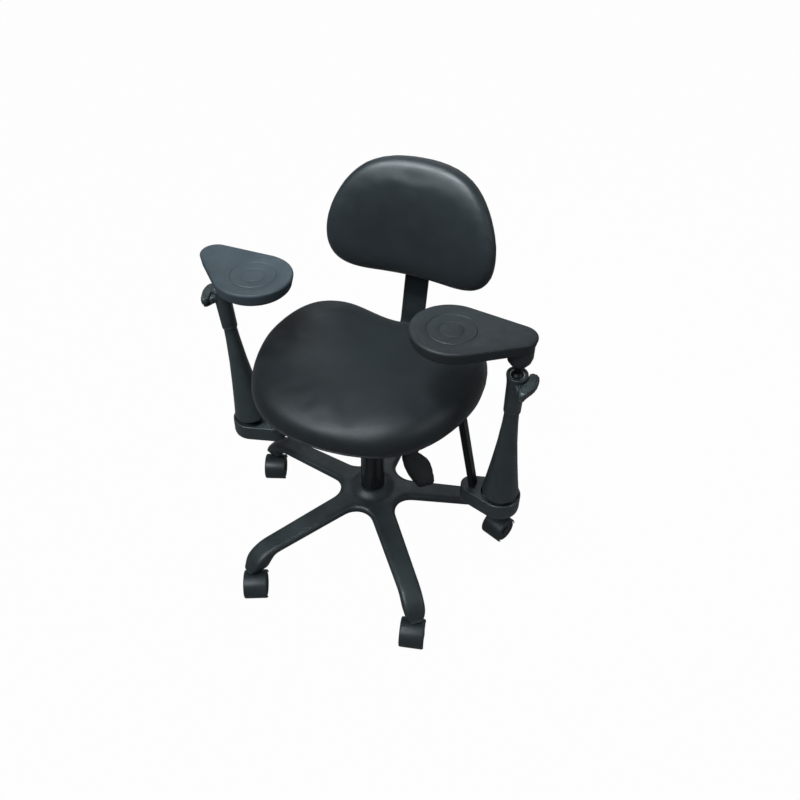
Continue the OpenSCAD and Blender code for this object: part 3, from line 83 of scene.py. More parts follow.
class Finish:
    """A material whose nodes are added one by one, from Object coordinates."""

    def __init__(self, name):
        self.mat = bpy.data.materials.new(name)
        self.mat.use_nodes = True
        self.tree = self.mat.node_tree
        self.shader = self.tree.nodes["Principled BSDF"]
        self.place = self.tree.nodes.new("ShaderNodeTexCoord").outputs["Object"]

    def link(self, a, b):
        self.tree.links.new(a, b)

    def node(self, kind, **inputs):
        """New node; its inputs are named with _ for each space."""
        n = self.tree.nodes.new(kind)
        for key, value in inputs.items():
            n.inputs[key.replace("_", " ")].default_value = value
        return n

    def calc(self, operation, *operands):
        """Math node whose operands are sockets or numbers."""
        m = self.node("ShaderNodeMath")
        m.operation = operation
        for socket, operand in zip(m.inputs, operands):
            if isinstance(operand, bpy.types.NodeSocket):
                self.link(operand, socket)
            else:
                socket.default_value = operand
        return m.outputs[0]

    def stretched(self, scale):
        m = self.node("ShaderNodeMapping", Scale=scale)
        self.link(self.place, m.inputs["Vector"])
        return m.outputs["Vector"]

    def noise(self, scale, detail=2, rough=0.5, where=None):
        n = self.node("ShaderNodeTexNoise", Scale=scale, Detail=detail, Roughness=rough)
        self.link(where or self.place, n.inputs["Vector"])
        return n.outputs["Fac"]

    def cells(self, scale, where):
        """Distance to the nearest border between cells."""
        n = self.node("ShaderNodeTexVoronoi", Scale=scale)
        n.feature = "DISTANCE_TO_EDGE"
        self.link(where, n.inputs["Vector"])
        return n.outputs["Distance"]

    def wobbled(self, scale, amount):
        """Object coordinates pushed about by a noise, so that cells look grown."""
        n = self.node("ShaderNodeTexNoise", Scale=scale, Detail=1)
        self.link(self.place, n.inputs["Vector"])
        s = self.node("ShaderNodeVectorMath")
        s.operation = "MULTIPLY_ADD"
        self.link(n.outputs["Color"], s.inputs[0])
        s.inputs[1].default_value = (amount, amount, amount)
        self.link(self.place, s.inputs[2])
        return s.outputs[0]

    def spread(self, value, low, high, from_low=0.3, from_high=0.7):
        """Maps a value from one range to another."""
        m = self.node("ShaderNodeMapRange", From_Min=from_low, From_Max=from_high, To_Min=low, To_Max=high)
        self.link(value, m.inputs["Value"])
        return m.outputs["Result"]

    def colour(self, value, dark, light):
        m = self.tree.nodes.new("ShaderNodeMix")
        m.data_type = "RGBA"
        m.inputs["A"].default_value = (*dark, 1)
        m.inputs["B"].default_value = (*light, 1)
        self.link(value, m.inputs["Factor"])
        self.link(m.outputs["Result"], self.shader.inputs["Base Color"])

    def rough(self, value):
        self.link(value, self.shader.inputs["Roughness"])

    def plus(self, a, b, share):
        return self.calc("MULTIPLY_ADD", b, share, a)

    def bump(self, height, strength, distance):
        b = self.node("ShaderNodeBump", Strength=strength, Distance=distance)
        self.link(height, b.inputs["Height"])
        self.link(b.outputs["Normal"], self.shader.inputs["Normal"])

    def gloss(self, **sockets):
        for key, value in sockets.items():
            self.shader.inputs[key.replace("_", " ")].default_value = value


def leatherette(name, dark, light, rough):
    """Vinyl upholstery: fine pebbled grain, soft sheen and a faint drift in colour."""
    f = Finish(name)
    pebble = f.cells(720, f.wobbled(240, 0.0016))
    fold = f.noise(46, 3, 0.6)
    f.colour(f.spread(f.noise(9, 3, 0.55), 0, 1, 0.35, 0.65), dark, light)
    f.rough(f.spread(f.plus(fold, pebble, 0.8), rough - 0.05, rough + 0.07, 0.4, 0.9))
    f.bump(f.plus(f.spread(pebble, 0, 1, 0, 0.35), fold, 0.35), 0.22, 0.0004)
    f.gloss(Specular_IOR_Level=0.33, Sheen_Weight=0.04, Sheen_Roughness=0.4)
    return f.mat


def pad_skin(name, dark, light):
    """Foamed skin of the arm pads: matt, with very fine pores."""
    f = Finish(name)
    pores = f.noise(1500, 2, 0.6)
    f.colour(f.spread(f.noise(14, 3, 0.6), 0, 1, 0.35, 0.65), dark, light)
    f.rough(f.spread(f.noise(60, 2), 0.5, 0.62))
    f.bump(f.plus(pores, f.noise(90, 2), 0.8), 0.16, 0.0003)
    f.gloss(Specular_IOR_Level=0.36)
    return f.mat


def moulded(name, dark, light, rough, grain=1900, strength=0.14, shine=0.45):
    """Moulded plastic: spark-eroded texture, slightly uneven gloss, paler where it is rubbed."""
    f = Finish(name)
    texture = f.noise(grain, 2, 0.65)
    rubbed = f.noise(22, 4, 0.62)
    f.colour(f.spread(rubbed, 0, 1, 0.4, 0.72), dark, light)
    f.rough(f.spread(f.noise(38, 3, 0.6), rough - 0.06, rough + 0.08))
    f.bump(f.plus(texture, f.noise(55, 2), 0.5), strength, 0.0003)
    f.gloss(Specular_IOR_Level=shine)
    return f.mat


def coated(name, dark, light, rough):
    """Powder coat: orange peel and a satin top."""
    f = Finish(name)
    peel = f.noise(620, 2, 0.5)
    f.colour(f.spread(f.noise(18, 3), 0, 1), dark, light)
    f.rough(f.spread(f.noise(45, 3), rough - 0.04, rough + 0.06))
    f.bump(f.plus(peel, f.noise(2100, 1), 0.3), 0.2, 0.0004)
    f.gloss(Specular_IOR_Level=0.22)
    return f.mat


def column_gloss(name):
    """Gloss black tube with drawn lines along it in roughness and bump, and lighter streaks along it in its colour
    that are painted reflections.
    """
    f = Finish(name)
    drawn_lines_and_painted_streaks = f.noise(1, 3, 0.6, f.stretched((420, 420, 3)))
    # the lighter streaks along the tube in the base colour are painted reflection streaks
    f.colour(f.spread(drawn_lines_and_painted_streaks, 0, 1), (0.008, 0.0095, 0.0105), (0.016, 0.0185, 0.020))
    f.rough(f.spread(drawn_lines_and_painted_streaks, 0.2, 0.34))
    f.bump(f.plus(drawn_lines_and_painted_streaks, f.noise(700, 1), 0.2), 0.1, 0.0003)
    f.gloss(Specular_IOR_Level=0.35)
    return f.mat


def turned_steel(name, dark, light, rough):
    """Steel with fine turning marks across it and faint stains."""
    f = Finish(name)
    turned = f.noise(1, 3, 0.7, f.stretched((60, 60, 2600)))
    f.colour(f.spread(f.noise(40, 3), 0, 1), dark, light)
    f.rough(f.spread(f.plus(turned, f.noise(30, 2), 0.5), rough - 0.06, rough + 0.1, 0.4, 1.0))
    f.bump(turned, 0.12, 0.0002)
    f.gloss(Metallic=1.0)
    return f.mat


def rolled_polymer(name, dark, light, rough):
    """Caster wheels: plain polymer, scuffed and dusty on the tread."""
    f = Finish(name)
    scuffs = f.noise(1, 4, 0.7, f.stretched((500, 90, 500)))
    f.colour(f.spread(f.plus(scuffs, f.noise(30, 3), 0.8), 0, 1, 0.75, 1.2), dark, light)
    f.rough(f.spread(scuffs, rough - 0.05, rough + 0.14))
    f.bump(f.plus(scuffs, f.noise(1600, 2), 0.5), 0.14, 0.0003)
    f.gloss(Specular_IOR_Level=0.45)
    return f.mat


finish = {
    "upholstery": leatherette(
        "seat_leatherette", (0.0070, 0.0089, 0.0104), (0.0104, 0.0131, 0.0152), 0.44),
    # the welt gets a paler copy of the seat leatherette: painted rim highlight along the seat's lower edge
    "welt": leatherette(
        "welt_leatherette_painted_highlight", (0.015, 0.018, 0.021), (0.024, 0.028, 0.032), 0.36),
    "pad_skin": pad_skin(
        "pad_skin", (0.0262, 0.0345, 0.0415), (0.0365, 0.0462, 0.0550)),
    "base_polymer": moulded(
        "base_polymer", (0.0142, 0.0184, 0.0199), (0.0250, 0.0315, 0.0339), 0.43),
    "arm_polymer": moulded(
        "arm_polymer", (0.0225, 0.0287, 0.0310), (0.0320, 0.0402, 0.0432), 0.42, 2400, 0.08),
    # a darker copy of pad_skin: painted shade for the left arm's pad, whose tilt leaves it less lit than the right
    # one
    "pad_skin_deep": pad_skin(
        "pad_skin_deep", (0.0078, 0.0100, 0.0116), (0.0118, 0.0145, 0.0164)),
    "shell_plastic": moulded(
        "shell_plastic", (0.011, 0.013, 0.0145), (0.018, 0.021, 0.023), 0.5, 1300, 0.26),
    "handle_plastic": moulded(
        "handle_plastic", (0.0050, 0.0065, 0.0074), (0.0090, 0.0112, 0.0125), 0.38),
    # a darker copy of handle_plastic with less shine for the lever's paddle: the darker colour is painted shade
    "grip_plastic": moulded(
        "grip_plastic", (0.0035, 0.0045, 0.0052), (0.0060, 0.0075, 0.0085), 0.46, shine=0.2),
    "bush_polymer": moulded(
        "bush_polymer", (0.008, 0.010, 0.011), (0.013, 0.015, 0.016), 0.42),
    "bearing_polymer": moulded(
        "bearing_polymer", (0.42, 0.42, 0.39), (0.52, 0.52, 0.49), 0.4, 900, 0.05),
    "caster_hood": moulded(
        "caster_hood", (0.0158, 0.0200, 0.0224), (0.0260, 0.0318, 0.0352), 0.4, shine=0.42),
    "wheel_polymer": rolled_polymer(
        "wheel_polymer", (0.012, 0.014, 0.0155), (0.026, 0.030, 0.033), 0.45),
    "powder_coat": coated(
        "powder_coat", (0.0045, 0.0058, 0.0066), (0.0080, 0.0098, 0.0110), 0.42),
    "column_gloss": column_gloss("column_gloss"),
    "steel": turned_steel(
        "bright_steel", (0.42, 0.43, 0.44), (0.6, 0.6, 0.61), 0.22),
    "zinc_steel": turned_steel(
        "black_steel", (0.016, 0.018, 0.019), (0.032, 0.035, 0.037), 0.4),
}

for part in frame["record"]["subparts"]:
    if part["node"] in nodes and part["material_slot"] in finish:
        worn = nodes[part["node"]].data.materials
        worn.clear()
        worn.append(finish[part["material_slot"]])


# ---------------------------------------------------------------- shared steps


def only(obj):
    bpy.ops.object.select_all(action="DESELECT")
    obj.select_set(True)
    bpy.context.view_layer.objects.active = obj


def in_edit(obj):
    only(obj)
    bpy.ops.object.mode_set(mode="EDIT")


def done():
    bpy.ops.object.mode_set(mode="OBJECT")


def settled(obj):
    """Applies a piece's place, turn and size to its mesh."""
    only(obj)
    bpy.ops.object.transform_apply(location=True, rotation=True, scale=True)


def apply_all(obj):
    """Applies all modifiers of a piece."""
    only(obj)
    for m in list(obj.modifiers):
        bpy.ops.object.modifier_apply(modifier=m.name)


def merge_all(within):
    """In edit mode, merges the vertices of a piece that nearly touch."""
    bpy.ops.mesh.select_all(action="SELECT")
    bpy.ops.mesh.remove_doubles(threshold=within)


def face_out():
    """In edit mode, turns the faces of a piece outwards and leaves them selected."""
    bpy.ops.mesh.select_all(action="SELECT")
    bpy.ops.mesh.normals_make_consistent(inside=False)


def select_only(mesh, faces):
    for kind in (mesh.faces, mesh.edges, mesh.verts):
        for x in kind:
            x.select = False
    for f in faces:
        f.select = True
    mesh.select_flush(True)


def pick_faces(obj, wanted):
    """In edit mode, selects the faces that pass a test and nothing else."""
    mesh = bmesh.from_edit_mesh(obj.data)
    select_only(mesh, [f for f in mesh.faces if wanted(f)])
    bmesh.update_edit_mesh(obj.data)


def pick_edges(obj, wanted):
    """In edit mode, selects the edges that pass a test and nothing else."""
    mesh = bmesh.from_edit_mesh(obj.data)
    select_only(mesh, [])
    for e in mesh.edges:
        e.select = wanted(e)
    bmesh.update_edit_mesh(obj.data)


def terraced(steps):
    """In edit mode, insets the picked faces by (inwards, up) pairs and ends each in a point."""
    for inwards, up in steps:
        bpy.ops.mesh.inset(thickness=inwards, depth=up)
    bpy.ops.mesh.poke()


def own_copy(node, name):
    """Copy of a CAD node's mesh as a piece of its own, with its corners merged."""
    obj = linked(name, nodes[node].data.copy())
    in_edit(obj)
    merge_all(0.00002)
    done()
    return obj


def dress(obj, slot, body, angle=None, stands_for=()):
    """Finish, shading and the body that the piece rides on."""
    obj.data.materials.clear()
    obj.data.materials.append(finish[slot])
    settled(obj)
    if angle is None:
        bpy.ops.object.shade_smooth()
    else:
        bpy.ops.object.shade_smooth_by_angle(angle=math.radians(angle))
    if stands_for:
        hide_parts(*stands_for)
    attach(obj, body)


def remeshed(obj, size):
    only(obj)
    obj.data.remesh_voxel_size = size
    bpy.ops.object.voxel_remesh()


def smoothed(obj, times):
    m = obj.modifiers.new("even", "SMOOTH")
    m.factor = 0.5
    m.iterations = times
    apply_all(obj)


def grown(obj, amount):
    m = obj.modifiers.new("grow", "DISPLACE")
    m.mid_level = 0
    m.strength = amount
    apply_all(obj)


def refined(obj, levels=1):
    m = obj.modifiers.new("fine", "SUBSURF")
    m.levels = m.render_levels = levels
    apply_all(obj)


def on_axle(obj, at, axis):
    """Turns a piece modelled along Z onto an axle and moves it there."""
    obj.rotation_euler = Vector(axis).to_track_quat("Z", "Y").to_euler()
    obj.location = at
    settled(obj)


def to_axes(obj, origin, x_way, y_way):
    """Moves a piece modelled at the origin so that its X and Y run along the given ways."""
    turn = Matrix((x_way, y_way, x_way.cross(y_way))).transposed().to_4x4()
    obj.matrix_world = Matrix.Translation(origin) @ turn
    settled(obj)


def joined(pieces, name):
    only(pieces[0])
    for p in pieces:
        p.select_set(True)
    bpy.ops.object.join()
    pieces[0].name = name
    return pieces[0]


def copies_round(piece, angles):
    """A piece and copies of it, each with its own mesh, turned about the column by the angles."""
    made = [piece] + [linked(piece.name, piece.data.copy()) for _ in angles[1:]]
    for p, a in zip(made, angles):
        p.rotation_euler = (0, 0, math.radians(a))
        settled(p)
    return made


def lathe(name, profile, count, at=(0, 0), closed=False):
    """Round piece on Z: a circle extruded and resized through (radius, height) pairs."""
    bpy.ops.object.select_all(action="DESELECT")
    r, z = profile[0]
    bpy.ops.mesh.primitive_circle_add(vertices=count, radius=r, location=(*at, z))
    piece = bpy.context.object
    piece.name = name
    in_edit(piece)
    bpy.ops.mesh.select_all(action="SELECT")
    if not closed:
        bpy.ops.mesh.edge_face_add()
    for r2, z2 in profile[1:]:
        bpy.ops.mesh.extrude_region_move()
        bpy.ops.transform.resize(value=(r2 / r, r2 / r, 1), center_override=(*at, z))
        bpy.ops.transform.translate(value=(0, 0, z2 - z))
        r, z = r2, z2
    merge_all(0.000005)
    face_out()
    done()
    settled(piece)
    return piece


def rounded_plate(name, outline, wall, crown):
    """Moulded plate on XY: an outline filled, extruded to a wall and crowned on both faces by insets."""
    bpy.ops.object.select_all(action="DESELECT")
    bpy.ops.mesh.primitive_circle_add(vertices=len(outline), radius=0.02, fill_type="NGON")
    plate = bpy.context.object
    plate.name = name
    in_edit(plate)
    mesh = bmesh.from_edit_mesh(plate.data)
    ring = sorted(mesh.verts, key=lambda v: math.atan2(v.co.y, v.co.x) % math.tau)
    for v, (x, y) in zip(ring, outline):
        v.co = (x, y, -wall / 2)
    bmesh.update_edit_mesh(plate.data)
    bpy.ops.mesh.select_all(action="SELECT")
    bpy.ops.mesh.extrude_region_move(TRANSFORM_OT_translate={"value": (0, 0, wall)})
    face_out()
    pick_faces(plate, lambda f: abs(f.normal.z) > 0.99)
    terraced(crown)
    done()
    refined(plate, 2)
    return plate


def roll_edge(obj, height, width, segments):
    """In edit mode, rounds the edges that lie at a height."""
    pick_edges(obj, lambda e: all(abs(v.co.z - height) < 0.00001 for v in e.verts))
    bpy.ops.mesh.bevel(offset=width, segments=segments, profile=0.5, affect="EDGES")


def swell(obj, held, cap):
    """Inflates a cushion by cloth simulation and keeps each point within cap of where it was."""
    frames = 20
    start = [v.co.copy() for v in obj.data.vertices]
    group = obj.vertex_groups.new(name="held")
    group.add([v.index for v in obj.data.vertices if held(v)], 1, "ADD")
    only(obj)
    bpy.ops.object.modifier_add(type="CLOTH")
    cloth = obj.modifiers[-1]
    cs = cloth.settings
    cs.quality = 5
    cs.mass = 0.35
    cs.tension_stiffness = cs.compression_stiffness = 22
    cs.shear_stiffness = 12
    cs.bending_stiffness = 9
    cs.use_pressure = True
    cs.uniform_pressure_force = 2.0
    cs.effector_weights.gravity = 0
    cs.vertex_group_mass = "held"
    cloth.collision_settings.use_collision = False
    cloth.point_cache.frame_start = 1
    cloth.point_cache.frame_end = frames
    for f in range(1, frames + 1):
        bpy.context.scene.frame_set(f)
    bpy.ops.object.modifier_apply(modifier=cloth.name)
    for v, was in zip(obj.data.vertices, start):
        move = v.co - was
        if move.length > cap:
            v.co = was + move * (cap / move.length)
    obj.vertex_groups.clear()
    bpy.context.scene.frame_set(1)


# ---------------------------------------------------------------- seat and back

cloth_shrink = 0.0008
cloth_cap = 0.0022
held_rim = 0.012
welt_height = 0.0075
welt_thick = 0.0022


def cover(node, name, body, voxel, held):
    obj = own_copy(node, name)
    remeshed(obj, voxel)
    smoothed(obj, 6)
    grown(obj, -cloth_shrink)
    swell(obj, held, cloth_cap)
    smoothed(obj, 14)
    refined(obj)
    dress(obj, "upholstery", body, stands_for=(node,))
    return obj


def piping(around, name, body, cut_at, cut_normal, thick):
    """Round welt sewn along the line where a plane crosses a cover."""
    obj = linked(name, around.data.copy())
    in_edit(obj)
    bpy.ops.mesh.select_all(action="SELECT")
    bpy.ops.mesh.bisect(plane_co=cut_at, plane_no=cut_normal, clear_inner=True, clear_outer=True)
    merge_all(0.0012)
    done()
    only(obj)
    bpy.ops.object.convert(target="CURVE")
    obj.data.bevel_depth = thick
    obj.data.bevel_resolution = 3
    bpy.ops.object.convert(target="MESH")
    # the welt's paler leatherette is a painted rim highlight
    dress(obj, "welt", body)


seat_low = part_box("seat_cushion")[0]
seat_cover = cover("seat_cushion", "seat_cover", "seat", 0.006, lambda v: v.co.z < seat_low[2] + held_rim)
cover("back_cushion", "back_cover", "backrest", 0.0055, lambda v: v.normal.y > 0.25)
piping(seat_cover, "seat_welt", "seat", (0, 0, seat_low[2] + welt_height), (0, 0, 1), welt_thick)


# ---------------------------------------------------------------- arm pads

pad_height = 0.021
wide_at, wide_r = (-0.106, -0.036), 0.071
narrow_at, narrow_r = (-0.003, -0.003), 0.030
pad_foot = 0.952
top_roll = 0.0056
foot_roll = 0.0024
dish_r = 0.051
dish = (
    (0.0016, -0.0005), (0.0024, -0.0006), (0.0046, -0.0003), (0.0014, -0.0009), (0.0014, 0.0009),
    (0.0060, -0.0004), (0.0118, -0.0004), (0.0016, -0.0009), (0.0016, 0.0009), (0.0080, -0.0003),
    (0.0070, -0.0001),
)


def turned(x, y, degrees, side):
    """A place in plan turned about the origin, and mirrored for side -1."""
    a = math.radians(degrees)
    return Vector((side * (x * math.cos(a) - y * math.sin(a)), x * math.sin(a) + y * math.cos(a), 0))


def arm_pad(name, side, turn, skin):
    """Foamed pad: two rounds joined to a drop, rolled shoulder, a dish with two rings for the elbow."""
    ball = joint_at[name + "_pad_turn"]
    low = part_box(name + "_pad_cushion")[0][2]
    top = low + pad_height
    middle = low + pad_height / 2
    wide = ball + turned(*wide_at, turn, side)
    narrow = ball + turned(*narrow_at, turn, side)
    rounds = []
    for count, radius, at in ((128, wide_r, wide), (64, narrow_r, narrow)):
        bpy.ops.mesh.primitive_cylinder_add(
            vertices=count, radius=radius, depth=pad_height, location=(at.x, at.y, middle))
        rounds.append(bpy.context.object)
    pad = joined(rounds, name + "_pad_skin")
    settled(pad)
    in_edit(pad)
    bpy.ops.mesh.select_all(action="SELECT")
    bpy.ops.mesh.convex_hull(
        delete_unused=True, use_existing_faces=False, make_holes=False, join_triangles=False)
    bpy.ops.mesh.select_all(action="SELECT")
    bpy.ops.mesh.dissolve_limited(angle_limit=math.radians(0.4))
    pick_faces(pad, lambda f: f.normal.z < -0.99)
    bpy.ops.transform.resize(value=(pad_foot, pad_foot, 1))
    roll_edge(pad, top, top_roll, 6)
    roll_edge(pad, low, foot_roll, 3)
    mesh = bmesh.from_edit_mesh(pad.data)
    select_only(mesh, [max(mesh.faces, key=lambda f: (f.normal.z > 0.99) * len(f.verts))])
    bmesh.update_edit_mesh(pad.data)
    bpy.ops.mesh.delete(type="ONLY_FACE")
    bpy.ops.mesh.select_all(action="DESELECT")
    bpy.ops.mesh.primitive_circle_add(
        vertices=128, radius=dish_r, fill_type="NGON", location=(wide.x, wide.y, top))
    terraced(dish)
    bpy.ops.mesh.select_mode(type="EDGE")
    pick_edges(pad, lambda e: e.is_boundary)
    bpy.ops.mesh.bridge_edge_loops()
    bpy.ops.mesh.select_mode(type="VERT")
    done()
    dress(pad, skin, name + "_pad", angle=32, stands_for=(name + "_pad_cushion",))


# the left pad wears the darker copy of the pad skin, which is painted shade
arm_pad("left", 1, -3, "pad_skin_deep")
arm_pad("right", -1, 3, "pad_skin")


# ---------------------------------------------------------------- height lever

lever_at = joint_at["height_lever"]
lever_turn = math.radians(-40)
lever_reach = 0.104
socket_back = 0.0205
paddle_slope = math.radians(50)
lever_way = Vector((math.cos(lever_turn), math.sin(lever_turn), 0))
paddle_way = lever_way * math.cos(paddle_slope) + Vector((0, 0, -math.sin(paddle_slope)))
paddle_across = Vector((-lever_way.y, lever_way.x, 0))


def lever_paddle():
    """Leaf-shaped paddle with a blunt end, and the socket that holds it on the lever's rod."""
    outline = [
        (0.0695, 0.0020), (0.0702, 0.0100), (0.0700, 0.0122), (0.0682, 0.0150), (0.0640, 0.0170),
        (0.0524, 0.0182), (0.0400, 0.0190), (0.0276, 0.0166), (0.0190, 0.0106), (0.0102, 0.0029),
        (0.0035, -0.0040), (-0.0040, -0.0062), (-0.0120, -0.0062), (-0.0120, -0.0200), (-0.0040, -0.0246),
        (0.0044, -0.0264), (0.0179, -0.0280), (0.0321, -0.0270), (0.0490, -0.0222), (0.0620, -0.0155),
        (0.0664, -0.0130), (0.0680, -0.0112), (0.0684, -0.0090),
    ]
    plate = rounded_plate("paddle_plate", outline, 0.0052, ((0.0018, 0.0010), (0.0016, 0.0004), (0.0016, 0.0001)))
    foot = lever_at + lever_way * lever_reach
    to_axes(plate, foot, paddle_way, paddle_across)
    socket = lathe("paddle_socket", [
        (0.0051, 0), (0.0068, 0), (0.0076, 0.0008), (0.0080, 0.0040), (0.0080, 0.0230), (0.0070, 0.0262),
        (0.0040, 0.0272), (0.0005, 0.0274),
    ], 40)
    on_axle(socket, foot - lever_way * socket_back, lever_way)
    whole = joined([plate, socket], "lever_paddle_moulding")
    # the paddle wears the darker copy of the lever plastic, which is painted shade
    dress(whole, "grip_plastic", "lever", 50, ("lever_paddle",))


lever_paddle()


# ---------------------------------------------------------------- arm collars and their cam levers

# how far the middle of each plate lies below the ball's centre, along the post
lug_drop = 0.0178
fill_drop = 0.0095
wing_drop = 0.0070


def sided(outline, side):
    """An outline as it is for side 1, or mirrored for side -1."""
    return [(x * side, y) for x, y in outline]


def clamp_wing(name, side):
    """Cam lever that lies round the cup: a crescent plate, drawn in towards its foot, about the clamp's pin."""
    outline = [
        (0.0180, 0.0120), (0.0196, 0.0172), (0.0262, 0.0184), (0.0318, 0.0160), (0.0350, 0.0112),
        (0.0358, 0.0030), (0.0350, -0.0060), (0.0325, -0.0150), (0.0288, -0.0225), (0.0256, -0.0290),
        (0.0236, -0.0345), (0.0190, -0.0366), (0.0142, -0.0346), (0.0118, -0.0270), (0.0130, -0.0200),
        (0.0150, -0.0125), (0.0170, -0.0060), (0.0176, 0.0030),
    ]
    wing = rounded_plate(name + "_wing", sided(outline, side), 0.0165, ((0.0012, 0.0006), (0.0014, 0.0002)))
    in_edit(wing)
    pick_faces(wing, lambda f: all(v.co.z < -0.0072 for v in f.verts))
    bpy.ops.transform.resize(value=(0.9, 0.92, 1), center_override=(0.019 * side, -0.012, 0))
    done()
    pin = lathe(name + "_pin", [
        (0.0002, 0.0074), (0.0026, 0.0074), (0.0030, 0.0078), (0.0030, 0.0096), (0.0024, 0.0101),
        (0.0010, 0.0101), (0.0002, 0.0095),
    ], 24, (0.0191 * side, -0.0289))
    return joined([wing, pin], name + "_clamp_wing")


def arm_collar(name, side):
    """Sleeve on the post with a cup for the ball at its top, a lug for the clamp's pin, and the cam lever."""
    ball = joint_at[name + "_pad_turn"]
    up = Vector(next(j["axis"] for j in frame["joints"] if j["name"] == name + "_arm_height"))
    x_way = (Vector((1, 0, 0)) - up * up.x).normalized()
    y_way = up.cross(x_way)
    sleeve = lathe(name + "_sleeve", [
        (0.0134, -0.0850), (0.0147, -0.0850), (0.0151, -0.0843), (0.0152, -0.0790), (0.0149, -0.0784),
        (0.0149, -0.0776), (0.0152, -0.0770), (0.0155, -0.0500), (0.0157, -0.0250), (0.0160, -0.0140),
        (0.0168, -0.0050), (0.0178, 0.0010), (0.0184, 0.0050), (0.0183, 0.0064), (0.0177, 0.0073),
        (0.0168, 0.0076), (0.0150, 0.0074), (0.0131, 0.0072), (0.0127, 0.0068), (0.0133, 0.0055),
        (0.0139, 0.0040), (0.0142, 0.0020), (0.0144, 0.0000), (0.0138, -0.0060), (0.0134, -0.0150),
        (0.0134, -0.0850),
    ], 56, closed=True)
    lug_outline = [
        (0.0188, -0.0348), (0.0142, -0.0322), (0.0090, -0.0190), (0.0040, -0.0150), (0.0110, -0.0110),
        (0.0165, -0.0080), (0.0186, -0.0170), (0.0236, -0.0280), (0.0228, -0.0330),
    ]
    lug = rounded_plate(name + "_lug", sided(lug_outline, side), 0.0030, ((0.0008, 0.0002),))
    fill_outline = [
        (0.0100, 0.0080), (0.0166, 0.0060), (0.0168, -0.0010), (0.0162, -0.0070), (0.0142, -0.0130),
        (0.0122, -0.0200), (0.0109, -0.0262), (0.0080, -0.0262), (0.0040, -0.0200), (-0.0010, -0.0146),
        (0.0030, -0.0040),
    ]
    fill = rounded_plate(name + "_fill", sided(fill_outline, side), 0.0150, ((0.0010, 0.0004),))
    wing = clamp_wing(name, side)
    for piece, drop in ((sleeve, 0), (lug, lug_drop), (fill, fill_drop), (wing, wing_drop)):
        to_axes(piece, ball - up * drop, x_way, y_way)
    whole = joined([sleeve, lug, fill], name + "_collar_moulding")
    dress(whole, "arm_polymer", name + "_collar", 40, (name + "_height_collar",))
    dress(wing, "arm_polymer", name + "_clamp", 44, (name + "_clamp_lever",))


arm_collar("left", 1)
arm_collar("right", -1)


# ---------------------------------------------------------------- star base

arm_count = 5
front_arm = -50
stem_ring = 0.290
sector_half = math.radians(36)
root_half = 0.0254
tip_half = 0.0217
crotch_r = 0.037
shoulder = 0.0095
draw = 0.0110
boss_draw = 0.0035
arm_deep = 0.0245
boss_low = 0.0596
lip_low = boss_low + 0.0012
root_r = 0.0345
root_top = 0.130
arm_fall = 0.1018
hub_rise = 0.009
bend_r = 0.068
bend_start = stem_ring + 0.0215 - bend_r
fillet_x = (root_half + crotch_r) / math.tan(sector_half)
crotch_at = (root_half + crotch_r) / math.sin(sector_half) - crotch_r
rib_wall = 0.003
rib_deep = 0.019
rib_drop = 0.0125
across = (-1, -0.94, -0.85, -0.72, -0.5, -0.25, 0, 0.25, 0.5, 0.72, 0.85, 0.94, 1)


def step_up(a, b, v):
    t = min(max((v - a) / (b - a), 0), 1)
    return t * t * (3 - 2 * t)


def ridge(x, y):
    """Height of the star's top face before its shoulders are rounded."""
    r = math.hypot(x, y)
    along = r + (x - r) * step_up(0.06, 0.12, r)
    if x > bend_start:
        low = ridge(bend_start, 0) - bend_r
        return low + math.sqrt(max(bend_r ** 2 - (x - bend_start) ** 2, 0))
    return root_top - arm_fall * (along - root_r) + hub_rise * step_up(0.047, 0.028, r)


def arm_side_at(x):
    """Half the width of an arm at a distance from the column."""
    return root_half + (tip_half - root_half) * (x - fillet_x) / (stem_ring - fillet_x)


def to_edge(x, y):
    """Distance to the star's outline in plan, and the way inwards from it."""
    y_side = math.copysign(1, y)
    if x > stem_ring:
        r = math.hypot(x - stem_ring, y)
        return tip_half - r, Vector((stem_ring - x, -y)) / max(r, 1e-6)
    if x < fillet_x:
        away = Vector((x - fillet_x, y - y_side * (root_half + crotch_r)))
        return away.length - crotch_r, away.normalized()
    return arm_side_at(x) - abs(y), Vector((0, -y_side))


def shoulder_drop(gap):
    """How far the rounded shoulder lies below the ridge at a distance from the outline."""
    gap = min(max(gap, 0), shoulder)
    return shoulder - math.sqrt(shoulder ** 2 - (shoulder - gap) ** 2)


def underside(x, y):
    """Height of the foot of the star's walls."""
    level = root_top - arm_fall * (math.hypot(x, y) - root_r) - arm_deep
    return level + (boss_low - level) * step_up(0.248, 0.274, x)


def wall_draw(x):
    """How far the star's walls lean in from top to foot."""
    return draw + (boss_draw - draw) * step_up(0.245, 0.272, x)


def star_rows():
    """Rows of one sector, each as its middle, its end and whether it is an arc about the column."""
    rows = [(r, r, 0, True) for r in (0.0262, 0.0285, 0.032, 0.036, 0.041, 0.046, 0.0505)]
    rows += [(crotch_at - back, 0, 0, True) for back in (0.0125, 0.0090, 0.0058, 0.0030, 0.0012, 0)]
    crotch_row = len(rows) - 1
    for k, deg in enumerate((223, 231, 240, 250, 260, 270)):
        a = math.radians(deg)
        end = (fillet_x + crotch_r * math.cos(a), root_half + crotch_r + crotch_r * math.sin(a))
        rows.append((crotch_at + 0.0022 * (k + 1), *end, False))
    for mm in (96, 110, 128, 150, 175, 200, 222, 238, 250, 260, 269, 277, 284, 290, 295, 299.5, 303.5,
               306.5, 309, 310.8):
        x = mm / 1000
        half = arm_side_at(x) if x <= stem_ring else math.sqrt(tip_half ** 2 - (x - stem_ring) ** 2)
        rows.append((x, x, half, False))
    return rows, crotch_row


